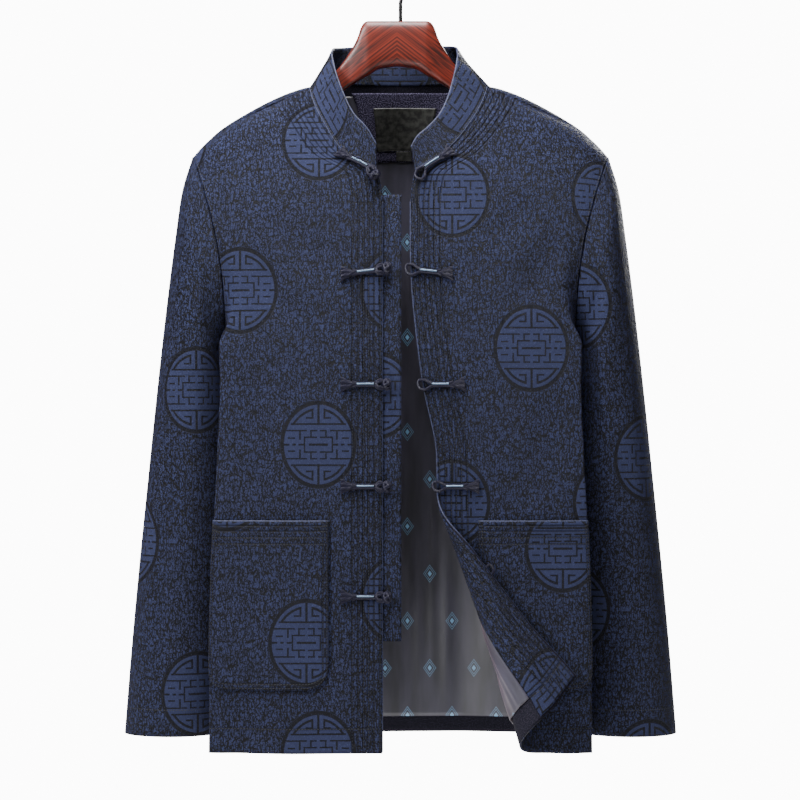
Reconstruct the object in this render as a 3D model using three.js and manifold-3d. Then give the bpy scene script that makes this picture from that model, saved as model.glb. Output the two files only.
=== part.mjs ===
// Tang jacket on a contoured wooden hanger, in millimetres, +Z up, front towards -Y.
// The origin is the underside of the hook's top, where a rail carries the hanger.
// The cloth pieces are walls made from curved grids; "right" and "left" are the wearer's.

import * as THREE from 'three';
import Module from 'manifold-3d';
import { mergeVertices } from 'three/addons/utils/BufferGeometryUtils.js';

const wasm = await Module();
wasm.setup();

const RIGHT = -1;
const LEFT = 1;

// ---- Driving sizes -------------------------------------------------------------------------

const CLOTH = 1.8;
const COLLAR_CLOTH = 2.4;
const LINING = 1.0;
const SEAM_GAP = 0.4;
const LIE_GAP = 0.3;
const LINE_SPACE = 0.003;

const HEM_Z = -885;
const UNDERARM_Z = -436;

const ARMHOLE = { tipX: 234, bottomX: 196, topZ: -223, halfDepth: 48, hollowFront: 13, hollowBack: 10 };
const SHOULDER_SEAM_ANGLE = 8;

// Sections of a front from hem to shoulder seam, x outwards. A section ends on the side seam
// (side) or on the armhole (arm, degrees from its top round the front).
const FRONT_SECTIONS = [
  { chest: [112, -68, -885], lip: [211, -60, -885], tuck: [203, -38, -885], side: [196, 8, -885] },
  { chest: [112, -68, -780], lip: [210, -61, -780], tuck: [201, -38, -780], side: [193, 8, -780] },
  { chest: [112, -67, -690], lip: [208, -61, -690], tuck: [198, -38, -690], side: [190, 8, -690] },
  { chest: [111, -66, -560], lip: [202, -61, -560], tuck: [191, -38, -560], side: [184, 8, -560] },
  { chest: [110, -65, -480], lip: [199, -59, -480], tuck: [188, -36, -480], side: [183, 6, -480] },
  { chest: [110, -64, -437], lip: [200, -57, -437], tuck: [194, -33, -437], arm: 180 },
  { chest: [110, -63, -416], lip: [197, -56, -426], tuck: [193.5, -38, -429], arm: 160 },
  { chest: [109, -62, -380], lip: [187, -56, -406], tuck: [192, -44, -410], arm: 140 },
  { chest: [108, -60, -335], lip: [178, -56, -368], tuck: [190, -49, -372], arm: 115 },
  { chest: [107, -57, -295], lip: [178, -54, -322], tuck: [194, -51, -327], arm: 90 },
  { chest: [112, -52, -257], lip: [184, -49, -274], tuck: [203, -46, -281], arm: 65 },
  { chest: [130, -43, -225], lip: [194, -38, -232], tuck: [215, -34, -242], arm: 40 },
  { chest: [145, -31, -194], lip: [199, -26, -209], tuck: [221, -22, -222], arm: 22 },
  { chest: [149, -18, -176], lip: [200, -15, -198], tuck: [223, -13, -216], arm: 13 },
  { chest: [150, -6, -167.5], lip: [200, -6.5, -192], tuck: [223, -6.6, -212], arm: SHOULDER_SEAM_ANGLE },
];
const FRONT_COLUMNS = [0, 0.42, 0.78, 0.88, 1];

// Front edge and neckline of each front, one row for each section above.
const FRONT_EDGE = {
  [RIGHT]: [[20, -66, -885], [20, -66, -780], [20, -66, -690], [20, -66, -560], [20, -65, -480],
    [20, -64, -437], [20, -62, -410], [20, -60, -370], [20, -56, -320], [20, -52, -278],
    [25, -50, -245], [64, -42, -221], [87, -29, -186], [98, -17, -163], [103, -6, -146]],
  [LEFT]: [[13.5, -66, -885], [35.5, -66, -780], [41.3, -66, -690], [40, -66, -560], [25, -65, -480],
    [19, -64, -437], [16, -62, -410], [12.5, -60, -370], [11, -56, -320], [11, -52, -278],
    [15, -50, -247], [52, -43, -219], [79, -31, -186], [92, -18, -163], [99, -6, -145]],
};

// Sections of half the back from hem to shoulder seam, x outwards.
const BACK_SECTIONS = [
  { side: [196, 8, -885], corner: [188, 58, -884], blade: [108, 76, -883], nape: [54, 78.5, -883], spine: [79, -883] },
  { side: [193, 8, -780], corner: [185, 58, -780], blade: [108, 75, -780], nape: [54, 77.5, -780], spine: [78, -780] },
  { side: [190, 8, -690], corner: [181, 57, -690], blade: [108, 74, -690], nape: [54, 76.5, -690], spine: [77, -690] },
  { side: [184, 8, -560], corner: [177, 56, -560], blade: [108, 72, -560], nape: [54, 74.5, -560], spine: [75, -560] },
  { side: [183, 6, -480], corner: [178, 52, -480], blade: [108, 69, -480], nape: [54, 72.0, -480], spine: [73, -480] },
  { arm: 180, corner: [188, 44, -437], blade: [108, 67, -437], nape: [54, 70.0, -437], spine: [71, -437] },
  { arm: 200, corner: [189, 48, -425], blade: [110, 66, -410], nape: [54, 69.0, -406], spine: [70, -405] },
  { arm: 220, corner: [187, 51, -405], blade: [112, 65, -375], nape: [55, 68.0, -367], spine: [69, -365] },
  { arm: 245, corner: [183, 54, -368], blade: [114, 63, -335], nape: [56, 66.0, -323], spine: [67, -320] },
  { arm: 270, corner: [185, 54, -322], blade: [116, 60, -295], nape: [57, 63.0, -279], spine: [64, -275] },
  { arm: 295, corner: [191, 48, -276], blade: [118, 54, -254], nape: [58, 59.0, -233], spine: [61, -229] },
  { arm: 320, corner: [197, 37, -236], blade: [119, 43, -211], nape: [60, 54.5, -193], spine: [58, -190] },
  { arm: 338, corner: [200, 22, -206], blade: [118, 28, -178], nape: [65, 49.5, -163], spine: [55.5, -161] },
  { arm: 350, corner: [201, 9, -193.5], blade: [113, 14, -156], nape: [70, 45.0, -148], spine: [54, -147] },
  { arm: 360, corner: [200.5, 0, -190.5], blade: [107, 3, -144], nape: [74, 40.5, -139.5], spine: [53, -139] },
  { arm: 368, corner: [200, -6.5, -192], blade: [103, -6, -146], nape: [77, 36.5, -134.5], spine: [52, -134] },
];
const BACK_COLUMNS = [0, 0.1, 0.27, 0.38, 0.5];

// Soft troughs in the panels: from and to are a fold's ends (x and z; on a front x is outwards),
// width is half its breadth and depth how far it sinks. A negative depth is a ridge.
const FRONT_FOLDS = {
  [RIGHT]: [
    { from: [172, -325], to: [112, -430], width: 17, depth: 3.4 },
    { from: [150, -290], to: [66, -366], width: 22, depth: 2 },
    { from: [180, -440], to: [160, -640], width: 17, depth: 2.6 },
    { from: [122, -760], to: [114, -1010], width: 26, depth: -2.2 },
    { from: [176, -770], to: [180, -1000], width: 17, depth: 3 },
  ],
  [LEFT]: [
    { from: [176, -310], to: [126, -402], width: 19, depth: 3 },
    { from: [158, -270], to: [92, -330], width: 18, depth: 2.4 },
    { from: [170, -470], to: [150, -610], width: 19, depth: 2.2 },
    { from: [158, -790], to: [162, -1000], width: 15, depth: 3.4 },
    { from: [182, -700], to: [186, -960], width: 12, depth: -2 },
  ],
};
const BACK_FOLDS = [
  { from: [-174, -316], to: [-116, -432], width: 19, depth: 3.8 },
  { from: [168, -322], to: [124, -414], width: 17, depth: 3.4 },
  { from: [-148, -470], to: [-130, -690], width: 24, depth: 3 },
  { from: [154, -500], to: [132, -740], width: 21, depth: 3.2 },
  { from: [-92, -600], to: [-80, -1080], width: 30, depth: -3 },
  { from: [72, -660], to: [64, -1060], width: 27, depth: -2.6 },
  { from: [-142, -750], to: [-148, -1010], width: 19, depth: 3.4 },
  { from: [30, -240], to: [10, -430], width: 24, depth: 2 },
  { from: [-24, -640], to: [-20, -1060], width: 26, depth: 2.6 },
];

// Sleeve creases: the middle of each by ring number and angle round the ring, its half length in
// rings, half breadth and depth.
const SLEEVE_FOLDS = {
  [RIGHT]: [
    { ring: 1.3, angle: 118, long: 1.1, wide: 17, depth: 3.4 },
    { ring: 2.9, angle: 80, long: 1.6, wide: 15, depth: 2.4 },
    { ring: 5, angle: 124, long: 1.8, wide: 18, depth: 3 },
    { ring: 7, angle: 66, long: 1.6, wide: 16, depth: 2.4 },
    { ring: 1.6, angle: 238, long: 1.3, wide: 18, depth: 3.6 },
    { ring: 4.3, angle: 262, long: 2, wide: 17, depth: 3 },
    { ring: 7.2, angle: 228, long: 1.5, wide: 16, depth: 2.4 },
  ],
  [LEFT]: [
    { ring: 1.5, angle: 112, long: 1.2, wide: 18, depth: 3.2 },
    { ring: 3.4, angle: 126, long: 1.5, wide: 16, depth: 2.8 },
    { ring: 5.4, angle: 78, long: 2.1, wide: 17, depth: 2.6 },
    { ring: 7.5, angle: 120, long: 1.4, wide: 15, depth: 2.6 },
    { ring: 1.4, angle: 246, long: 1.2, wide: 17, depth: 3.4 },
    { ring: 3.6, angle: 230, long: 1.7, wide: 18, depth: 3 },
    { ring: 6.4, angle: 264, long: 2, wide: 16, depth: 2.8 },
  ],
};
const FOLD_FADE = 0.1;

// The left front's lower corner is rolled over the outside, about a slanting line. The roll
// widens towards the hem, turns through its angle and lets the cloth run on straight.
const ROLL = {
  topX: 42.5, topZ: -591.5, slant: 23.4, turn: 215,
  startRadius: 6.8, growth: 0.02, spread: 0.0002, shorten: 0.04,
};

// Sleeve rings: outer and inner line, half depth and middle, from armhole to cuff.
const SLEEVE_RINGS = [
  { outer: [246, -262], inner: [198.5, -444], halfDepth: 52, midY: 0 },
  { outer: [254, -315], inner: [199.5, -453], halfDepth: 54, midY: 2 },
  { outer: [262, -375], inner: [198, -466], halfDepth: 54, midY: 4 },
  { outer: [270, -440], inner: [194, -488], halfDepth: 53, midY: 7 },
  { outer: [278, -510], inner: [191, -530], halfDepth: 52, midY: 10 },
  { outer: [286, -585], inner: [190, -594], halfDepth: 50, midY: 12 },
  { outer: [296, -680], inner: [194, -684], halfDepth: 46, midY: 14 },
  { outer: [305, -775], inner: [199, -777], halfDepth: 42, midY: 15 },
  { outer: [313, -874], inner: [205, -874], halfDepth: 38, midY: 15 },
];

// The collar's free edge, by its share of the way along the neckline from the right front end.
const COLLAR_EDGE = [
  { at: 0, x: -27, y: -46, z: -214 },
  { at: 0.039, x: -38, y: -43, z: -195 },
  { at: 0.085, x: -53, y: -38, z: -178 },
  { at: 0.166, x: -67, y: -27, z: -148 },
  { at: 0.218, x: -74.5, y: -16, z: -125 },
  { at: 0.256, x: -78.5, y: 0, z: -105 },
  { at: 0.3, x: -77, y: 16, z: -98 },
  { at: 0.352, x: -67, y: 33, z: -95 },
  { at: 0.42, x: -39, y: 46, z: -92 },
  { at: 0.5, x: 0, y: 50, z: -91 },
  { at: 0.58, x: 37, y: 46, z: -91.5 },
  { at: 0.648, x: 58, y: 32, z: -93 },
  { at: 0.7, x: 65, y: 12, z: -98 },
  { at: 0.744, x: 65, y: -6, z: -108 },
  { at: 0.762, x: 63, y: -18, z: -123 },
  { at: 0.782, x: 60, y: -22, z: -136 },
  { at: 0.834, x: 53, y: -31, z: -160 },
  { at: 0.875, x: 44, y: -38, z: -179 },
  { at: 0.915, x: 31, y: -42, z: -194 },
  { at: 0.96, x: 19, y: -46, z: -205 },
  { at: 1, x: 12, y: -47, z: -217 },
];
const COLLAR_LIFT = 1;

// Strip behind the right front's edge, from a hidden sewn side to a free edge beyond the front.
const UNDERLAP = { top: -281, bottom: -762, hiddenS: 0.18, free: -1 };

// Patch pockets, by their borders across the front.
const POCKET = { top: -630, bottom: -815, innerS: 0.275, outerS: 0.765, drawnIn: 0.022, lift: 0.7 };

// The left front's facing and lining, where its turned corner shows them.
const FACING = { fromS: 0.012, toS: 0.25, liningS: 0.72 };
const TURNED_TOP = -560;
const HEM_TURN = 29;

const BACK_LINING = { sideS: 0.08, hemZ: -865 };
const NECK_FACING = { left: -44, right: 53, top: -143, bottom: -222 };
const NECK_LABEL = { left: -28, right: 37, top: -160, bottom: -209 };
const SIZE_TAG = { left: -5, right: 13, top: -210, bottom: -221 };

// Height of each frog's row and how far its loop is set out past the front edge. The first pair
// lies along the neckline instead.
const FROG_ROWS = [
  { z: -361, loopOut: 0 }, { z: -480, loopOut: 0 }, { z: -592, loopOut: 0 }, { z: -713, loopOut: 5 },
];

// Knot half of a frog: from the ball's end, u from the front edge, half height and half thickness.
const KNOT_PROFILE = [
  { u: -11, high: 1.6, thick: 1.4 }, { u: -9.5, high: 4.6, thick: 4 }, { u: -6, high: 6, thick: 5.2 },
  { u: -2, high: 5, thick: 4.4 }, { u: 1, high: 2.6, thick: 2.2 }, { u: 8, high: 2.4, thick: 1.8 },
  { u: 24, high: 2.6, thick: 1.8 }, { u: 31, high: 4, thick: 1.8 }, { u: 37, high: 6.6, thick: 1.8 },
  { u: 45, high: 8, thick: 1.4 },
];

// Loop half: two strands round the eye, then one stem and its tail.
const LOOP_STRAND = [
  { u: -5, apart: 0.7, round: 1.6 }, { u: -3.5, apart: 2.4, round: 1.7 }, { u: 1, apart: 3.4, round: 1.7 },
  { u: 6, apart: 2.8, round: 1.7 }, { u: 11, apart: 1, round: 1.6 },
];
const LOOP_STEM = [
  { u: 9, high: 2.2, thick: 1.7 }, { u: 14.5, high: 2.3, thick: 1.7 }, { u: 20, high: 2.4, thick: 1.8 },
  { u: 26, high: 2.6, thick: 1.8 }, { u: 33, high: 4.4, thick: 1.8 }, { u: 38, high: 6.6, thick: 1.8 },
  { u: 46, high: 8, thick: 1.4 },
];
const FROG_LIFT = 0.35;
const NECK_FROG_LIFT = 0.9;
const ROLLED_FROG_LIFT = 1.4;
const NECK_FROG_S = 0.03;

// Half the hanger from its middle: top and bottom of the wood and its half depth.
const HANGER_MIDDLE = -4;
const HANGER_SECTIONS = [
  { x: 0, top: -70, bottom: -120, depth: 13 }, { x: 20, top: -70, bottom: -123, depth: 13 },
  { x: 34, top: -70, bottom: -131, depth: 13 }, { x: 40, top: -74, bottom: -134, depth: 13 },
  { x: 46, top: -90, bottom: -138, depth: 13 }, { x: 54, top: -104, bottom: -143, depth: 13 },
  { x: 62, top: -116, bottom: -149, depth: 12 }, { x: 71, top: -127, bottom: -156, depth: 11 },
  { x: 84, top: -142, bottom: -167, depth: 10.5 }, { x: 100, top: -151, bottom: -177, depth: 10.5 },
  { x: 122, top: -157, bottom: -187, depth: 10.5 }, { x: 160, top: -173.4, bottom: -203, depth: 12 },
  { x: 188, top: -187.6, bottom: -216, depth: 11 }, { x: 202, top: -198, bottom: -217, depth: 6 },
];
const HOOK = { wire: 4.4, radius: 17, bend: -50, foot: -69.7, from: -50, to: 195 };

// ---- Colours -------------------------------------------------------------------------------

const paint = (color, roughness, metalness = 0) =>
  () => new THREE.MeshStandardMaterial({ color, roughness, metalness });
const jacquard = paint(0x2b3556, 0.72);
const satin = paint(0x4a4652, 0.4);
const frogCord = paint(0x1d2236, 0.55);
const labelCloth = paint(0x17171b, 0.6);
const wood = paint(0x6b1f12, 0.25);
const darkSteel = paint(0x161616, 0.35, 0.9);

const jacket = new THREE.Group();

function addMesh(name, geometry, material) {
  const mesh = new THREE.Mesh(geometry, material());
  mesh.name = name;
  jacket.add(mesh);
  return mesh;
}

// ---- Curves --------------------------------------------------------------------------------

const lerp = (a, b, k) => a + (b - a) * k;
const radians = (degrees) => degrees * Math.PI / 180;
const evenly = (count, from = 0, to = 1) =>
  Array.from({ length: count }, (_, i) => lerp(from, to, i / (count - 1)));

// Slopes of a curve through values at knots that never overshoots them.
function slopes(knots, values) {
  const secants = knots.slice(1).map((k, i) => (values[i + 1] - values[i]) / (k - knots[i]));
  return knots.map((_, i) => {
    if (i === 0) return secants[0];
    if (i === knots.length - 1) return secants[i - 1];
    const [before, after] = [secants[i - 1], secants[i]];
    return before * after <= 0 ? 0 : 2 * before * after / (before + after);
  });
}

function smoothValue(knots, values, k) {
  const m = slopes(knots, values);
  let i = 0;
  while (i < knots.length - 2 && k > knots[i + 1]) i += 1;
  const span = knots[i + 1] - knots[i];
  const u = (k - knots[i]) / span;
  const [a, b] = [values[i], values[i + 1]];
  return (1 + 2 * u) * (1 - u) ** 2 * a + u * (1 - u) ** 2 * span * m[i]
    + u * u * (3 - 2 * u) * b + u * u * (u - 1) * span * m[i + 1];
}

const smoothPoint = (knots, points, k) =>
  [0, 1, 2].map((axis) => smoothValue(knots, points.map((p) => p[axis]), k));

// Knots from 0 to 1 spaced as the points are.
function chordKnots(points) {
  const sums = [0];
  for (let i = 1; i < points.length; i += 1) {
    sums.push(sums[i - 1] + Math.hypot(...points[i].map((v, axis) => v - points[i - 1][axis])));
  }
  return sums.map((v) => v / sums[sums.length - 1]);
}

// The argument in [low, high] at which a rising function reaches a value.
function solve(rising, value, low, high) {
  let [a, b] = [low, high];
  for (let i = 0; i < 30; i += 1) {
    const mid = (a + b) / 2;
    if (rising(mid) < value) a = mid; else b = mid;
  }
  return (a + b) / 2;
}

// How deep a table of folds sinks a panel at x, z.
function foldDepth(folds, x, z) {
  return folds.reduce((sum, { from, to, width, depth }) => {
    const [runX, runZ] = [to[0] - from[0], to[1] - from[1]];
    const length = Math.hypot(runX, runZ);
    const along = ((x - from[0]) * runX + (z - from[1]) * runZ) / length ** 2;
    if (along <= 0 || along >= 1) return sum;
    const away = ((x - from[0]) * runZ - (z - from[1]) * runX) / length;
    return sum + depth * Math.sin(Math.PI * along) * Math.exp(-((away / width) ** 2));
  }, 0);
}

// ---- Surfaces of the body ------------------------------------------------------------------

// A point of the armhole, x outwards, by its angle from the top round the front.
function armhole(angle) {
  const a = radians(angle);
  const drop = (1 - Math.cos(a)) / 2;
  const hollow = Math.sin(a) > 0 ? ARMHOLE.hollowFront : ARMHOLE.hollowBack;
  return [
    lerp(ARMHOLE.tipX, ARMHOLE.bottomX, drop) - hollow * Math.sin(a) ** 2,
    -ARMHOLE.halfDepth * Math.sin(a),
    lerp(ARMHOLE.topZ, UNDERARM_Z, drop),
  ];
}

const frontKnots = chordKnots(FRONT_SECTIONS.map((row) => row.chest));
const backKnots = chordKnots(BACK_SECTIONS.map((row) => row.blade));

// A front before its corner is rolled: s from front edge to side seam, t from hem to shoulder.
function frontFlat(side, s, t) {
  const columns = [
    FRONT_EDGE[side],
    FRONT_SECTIONS.map((row) => row.chest),
    FRONT_SECTIONS.map((row) => row.lip),
    FRONT_SECTIONS.map((row) => row.tuck),
    FRONT_SECTIONS.map((row) => row.side ?? armhole(row.arm)),
  ];
  const across = columns.map((column) => smoothPoint(frontKnots, column, t));
  const [x, y, z] = smoothPoint(FRONT_COLUMNS, across, s);
  const sunk = foldDepth(FRONT_FOLDS[side], x, z) * Math.min(1, (1 - s) / FOLD_FADE);
  return new THREE.Vector3(side * x, y + sunk, z);
}

// Rolls what lies beyond the slanting line.
function roll(point) {
  const slant = radians(ROLL.slant);
  const [dx, dz] = [point.x - ROLL.topX, point.z - ROLL.topZ];
  const along = dx * Math.sin(slant) - dz * Math.cos(slant);
  const beyond = -(dx * Math.cos(slant) + dz * Math.sin(slant));
  if (beyond <= 0) return point;
  const reach = Math.max(along, 0);
  const radius = ROLL.startRadius + ROLL.growth * reach + ROLL.spread * reach ** 2;
  const turn = radians(ROLL.turn);
  const angle = Math.min(beyond / radius, turn);
  const past = beyond - radius * angle;
  const across = -radius * Math.sin(angle) - past * Math.cos(turn);
  const out = radius * (1 - Math.cos(angle)) + past * Math.sin(turn);
  const kept = along * (1 - ROLL.shorten * Math.sin(angle / 2) ** 2);
  return new THREE.Vector3(
    ROLL.topX + kept * Math.sin(slant) + across * Math.cos(slant),
    point.y - out,
    ROLL.topZ - kept * Math.cos(slant) + across * Math.sin(slant),
  );
}

const front = (side, s, t) => (side === LEFT ? roll(frontFlat(side, s, t)) : frontFlat(side, s, t));

// The back: s from right side seam to left, t from hem to shoulder seam and neck.
function back(s, t) {
  const half = Math.min(s, 1 - s);
  const columns = [
    BACK_SECTIONS.map((row) => row.side ?? armhole(row.arm)),
    BACK_SECTIONS.map((row) => row.corner),
    BACK_SECTIONS.map((row) => row.blade),
    BACK_SECTIONS.map((row) => row.nape),
    BACK_SECTIONS.map((row) => [0, ...row.spine]),
  ];
  const across = columns.map((column) => smoothPoint(backKnots, column, t));
  const mirrored = [...across, ...across.slice(0, -1).reverse().map(([x, y, z]) => [-x, y, z])];
  const knots = [...BACK_COLUMNS, ...BACK_COLUMNS.slice(0, -1).reverse().map((k) => 1 - k)];
  const [x, y, z] = smoothPoint(knots, mirrored, half);
  const signed = s <= 0.5 ? -x : x;
  const sunk = foldDepth(BACK_FOLDS, signed, z) * Math.min(1, half / FOLD_FADE);
  return new THREE.Vector3(signed, y - sunk, z);
}

// Outward normal of a surface at s, t; turn is 1 or -1 by the way its grid runs.
function normalOf(surface, s, t, turn) {
  const step = 0.004;
  const [s0, s1] = [Math.max(0, s - step), Math.min(1, s + step)];
  const [t0, t1] = [Math.max(0, t - step), Math.min(1, t + step)];
  const alongS = surface(s1, t).sub(surface(s0, t));
  const alongT = surface(s, t1).sub(surface(s, t0));
  return alongS.cross(alongT).normalize().multiplyScalar(turn);
}

const rightFront = (s, t) => front(RIGHT, s, t);
const leftFront = (s, t) => front(LEFT, s, t);
const frontNormal = (side, s, t) => normalOf(side === LEFT ? leftFront : rightFront, s, t, side);
const backNormal = (s, t) => normalOf(back, s, t, -1);

// ---- Walls ---------------------------------------------------------------------------------

function geometryFrom(points, faces) {
  const vertices = points.flatMap((p) => [p.x, p.y, p.z]);
  const volume = faces.reduce((sum, [a, b, c]) =>
    sum + points[a].dot(new THREE.Vector3().crossVectors(points[b], points[c])), 0);
  const indices = faces.flatMap(([a, b, c]) => (volume > 0 ? [a, b, c] : [a, c, b]));
  const geometry = new THREE.BufferGeometry();
  geometry.setAttribute('position', new THREE.Float32BufferAttribute(vertices, 3));
  geometry.setIndex(indices);
  return geometry;
}

// A closed wall between an outer and an inner grid of points, rows[i][j].
function wallBetween(outer, inner) {
  const [rows, columns] = [outer.length, outer[0].length];
  const points = [...outer.flat(), ...inner.flat()];
  const shift = rows * columns;
  const at = (i, j) => i * columns + j;
  const faces = [];
  const quad = (a, b, c, d) => faces.push([a, b, c], [a, c, d]);
  for (let i = 0; i < rows - 1; i += 1) {
    for (let j = 0; j < columns - 1; j += 1) {
      const [a, b, c, d] = [at(i, j), at(i, j + 1), at(i + 1, j + 1), at(i + 1, j)];
      quad(a, b, c, d);
      quad(a + shift, d + shift, c + shift, b + shift);
    }
  }
  const rim = (a, b) => quad(b, a, a + shift, b + shift);
  for (let j = 0; j < columns - 1; j += 1) {
    rim(at(0, j), at(0, j + 1));
    rim(at(rows - 1, j + 1), at(rows - 1, j));
  }
  for (let i = 0; i < rows - 1; i += 1) {
    rim(at(i, columns - 1), at(i + 1, columns - 1));
    rim(at(i + 1, 0), at(i, 0));
  }
  return geometryFrom(points, faces);
}

// A tube wall between outer and inner rings, rings[i][j], each ring closed on itself.
function tubeBetween(outer, inner) {
  const [rings, sides] = [outer.length, outer[0].length];
  const points = [...outer.flat(), ...inner.flat()];
  const shift = rings * sides;
  const at = (i, j) => i * sides + (j % sides);
  const faces = [];
  const quad = (a, b, c, d) => faces.push([a, b, c], [a, c, d]);
  for (let j = 0; j < sides; j += 1) {
    for (let i = 0; i < rings - 1; i += 1) {
      const [a, b, c, d] = [at(i, j), at(i, j + 1), at(i + 1, j + 1), at(i + 1, j)];
      quad(a, b, c, d);
      quad(a + shift, d + shift, c + shift, b + shift);
    }
    const [first, second] = [at(0, j), at(0, j + 1)];
    quad(second, first, first + shift, second + shift);
    const [third, fourth] = [at(rings - 1, j + 1), at(rings - 1, j)];
    quad(fourth, third, third + shift, fourth + shift);
  }
  return geometryFrom(points, faces);
}

// A closed loft through rings of points with flat end caps.
function loft(rings) {
  const sides = rings[0].length;
  const points = rings.flat();
  const faces = [];
  for (let i = 0; i < rings.length - 1; i += 1) {
    for (let j = 0; j < sides; j += 1) {
      const k = (j + 1) % sides;
      const [a, b, c, d] = [i * sides + j, i * sides + k, (i + 1) * sides + k, (i + 1) * sides + j];
      faces.push([a, b, c], [a, c, d]);
    }
  }
  const last = (rings.length - 1) * sides;
  for (let j = 1; j < sides - 1; j += 1) {
    faces.push([0, j + 1, j], [last, last + j, last + j + 1]);
  }
  return geometryFrom(points, faces);
}

function toSolid(geometry) {
  const bare = geometry.clone();
  bare.deleteAttribute('normal');
  bare.deleteAttribute('uv');
  const merged = mergeVertices(bare, 1e-4);
  return new wasm.Manifold(new wasm.Mesh({
    numProp: 3,
    vertProperties: new Float32Array(merged.attributes.position.array),
    triVerts: new Uint32Array(merged.index.array),
  }));
}

function joinAll(geometries) {
  const joined = geometries.map(toSolid).reduce((sum, piece) => sum.add(piece)).getMesh();
  const geometry = new THREE.BufferGeometry();
  geometry.setAttribute('position', new THREE.BufferAttribute(joined.vertProperties, 3));
  geometry.setIndex(new THREE.BufferAttribute(joined.triVerts, 1));
  return geometry;
}

// ---- Panels --------------------------------------------------------------------------------

// A panel keeps its grid, so that what lies on it is made from the same points.
class Panel {
  constructor(surface, normal, sValues, tValues, trim) {
    this.sValues = sValues;
    this.tValues = tValues;
    this.points = tValues.map((t) => sValues.map((s) => surface(s, t).add(trim(s, t))));
    this.normals = tValues.map((t) => sValues.map((s) => normal(s, t)));
  }

  wall(out, thick) {
    const grid = (lift) => this.points.map((line, i) =>
      line.map((point, j) => point.clone().addScaledVector(this.normals[i][j], lift)));
    return wallBetween(grid(out), grid(out - thick));
  }

  // Point and normal on the grid at s and t.
  at(s, t) {
    const [j, u] = cellOf(this.sValues, s);
    const [i, v] = cellOf(this.tValues, t);
    const mix = (grid) => grid[i][j].clone().lerp(grid[i][j + 1], u)
      .lerp(grid[i + 1][j].clone().lerp(grid[i + 1][j + 1], u), v);
    return { point: mix(this.points), normal: mix(this.normals).normalize() };
  }

  // A wall over places[i][j] of s and t; out is how far its outer face stands off.
  wallOn(places, out, thick) {
    const spots = places.map((line) => line.map(([s, t]) => this.at(s, t)));
    const grid = (lift) => spots.map((line) =>
      line.map(({ point, normal }) => point.clone().addScaledVector(normal, lift)));
    return wallBetween(grid(out), grid(out - thick));
  }

  // Places of a patch that keeps to the panel's own lines between its borders.
  patch(s0, s1, t0, t1) {
    const across = linesBetween(this.sValues, s0, s1);
    return linesBetween(this.tValues, t0, t1).map((t) => across.map((s) => [s, t]));
  }
}

function cellOf(values, k) {
  let i = 0;
  while (i < values.length - 2 && k > values[i + 1]) i += 1;
  return [i, (k - values[i]) / (values[i + 1] - values[i])];
}

const linesBetween = (values, low, high) =>
  [low, ...values.filter((k) => k > low + LINE_SPACE && k < high - LINE_SPACE), high];

const merged = (...lists) => [...new Set(lists.flat())].sort((p, q) => p - q)
  .filter((k, i, all) => i === 0 || k - all[i - 1] > LINE_SPACE / 2);

const seamPull = SEAM_GAP / 2;

// Moves a front's borders back from the side seam, armhole and shoulder seam.
function frontTrim(side) {
  return (s, t) => {
    const pull = new THREE.Vector3();
    if (s === 1 && t < frontKnots[5] + 1e-9) pull.y -= seamPull;
    if (s === 1 && t >= frontKnots[5] - 1e-9) pull.x -= side * seamPull;
    if (t === 1) pull.y -= seamPull;
    return pull;
  };
}

function backTrim(s, t) {
  const pull = new THREE.Vector3();
  const onSide = s === 0 || s === 1;
  if (onSide && t < backKnots[5] + 1e-9) pull.y += seamPull;
  if (onSide && t >= backKnots[5] - 1e-9) pull.x += (s === 0 ? 1 : -1) * seamPull;
  if (t === 1) pull.y += seamPull;
  return pull;
}

// Both panels of a seam take one normal there, so their rims stay parallel.
const SHOULDER_NORMAL = [0.42, -0.22, 0.88];

function seamNormal(side, onShoulder) {
  const [x, y, z] = onShoulder ? SHOULDER_NORMAL : [1, 0, 0];
  return new THREE.Vector3(side * x, y, z).normalize();
}

function frontWallNormal(side) {
  return (s, t) => {
    if (t === 1) return seamNormal(side, true);
    if (s === 1 && t <= frontKnots[5]) return seamNormal(side, false);
    return frontNormal(side, s, t);
  };
}

function backWallNormal(s, t) {
  const side = s < 0.5 ? RIGHT : LEFT;
  if (t === 1 && (s <= BACK_COLUMNS[2] || s >= 1 - BACK_COLUMNS[2])) return seamNormal(side, true);
  if ((s === 0 || s === 1) && t <= backKnots[5]) return seamNormal(side, false);
  return backNormal(s, t);
}

// The s or t at which a border lies.
const frontT = (side, z) => solve((k) => frontFlat(side, 0.3, k).z, z, 0, frontKnots[10]);
const backT = (z) => solve((k) => back(0.5, k).z, z, 0, 1);
const backS = (x, t) => solve((k) => back(k, t).x, x, BACK_COLUMNS[1], 1 - BACK_COLUMNS[1]);

const halved = (knots, from) => knots.slice(from).flatMap((k, i) => [lerp(knots[from - 1 + i], k, 0.5), k]);
const pocketT = (side) => [0, 0.06, 0.15, 1].map((k) => frontT(side, lerp(POCKET.bottom, POCKET.top, k)));

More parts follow.
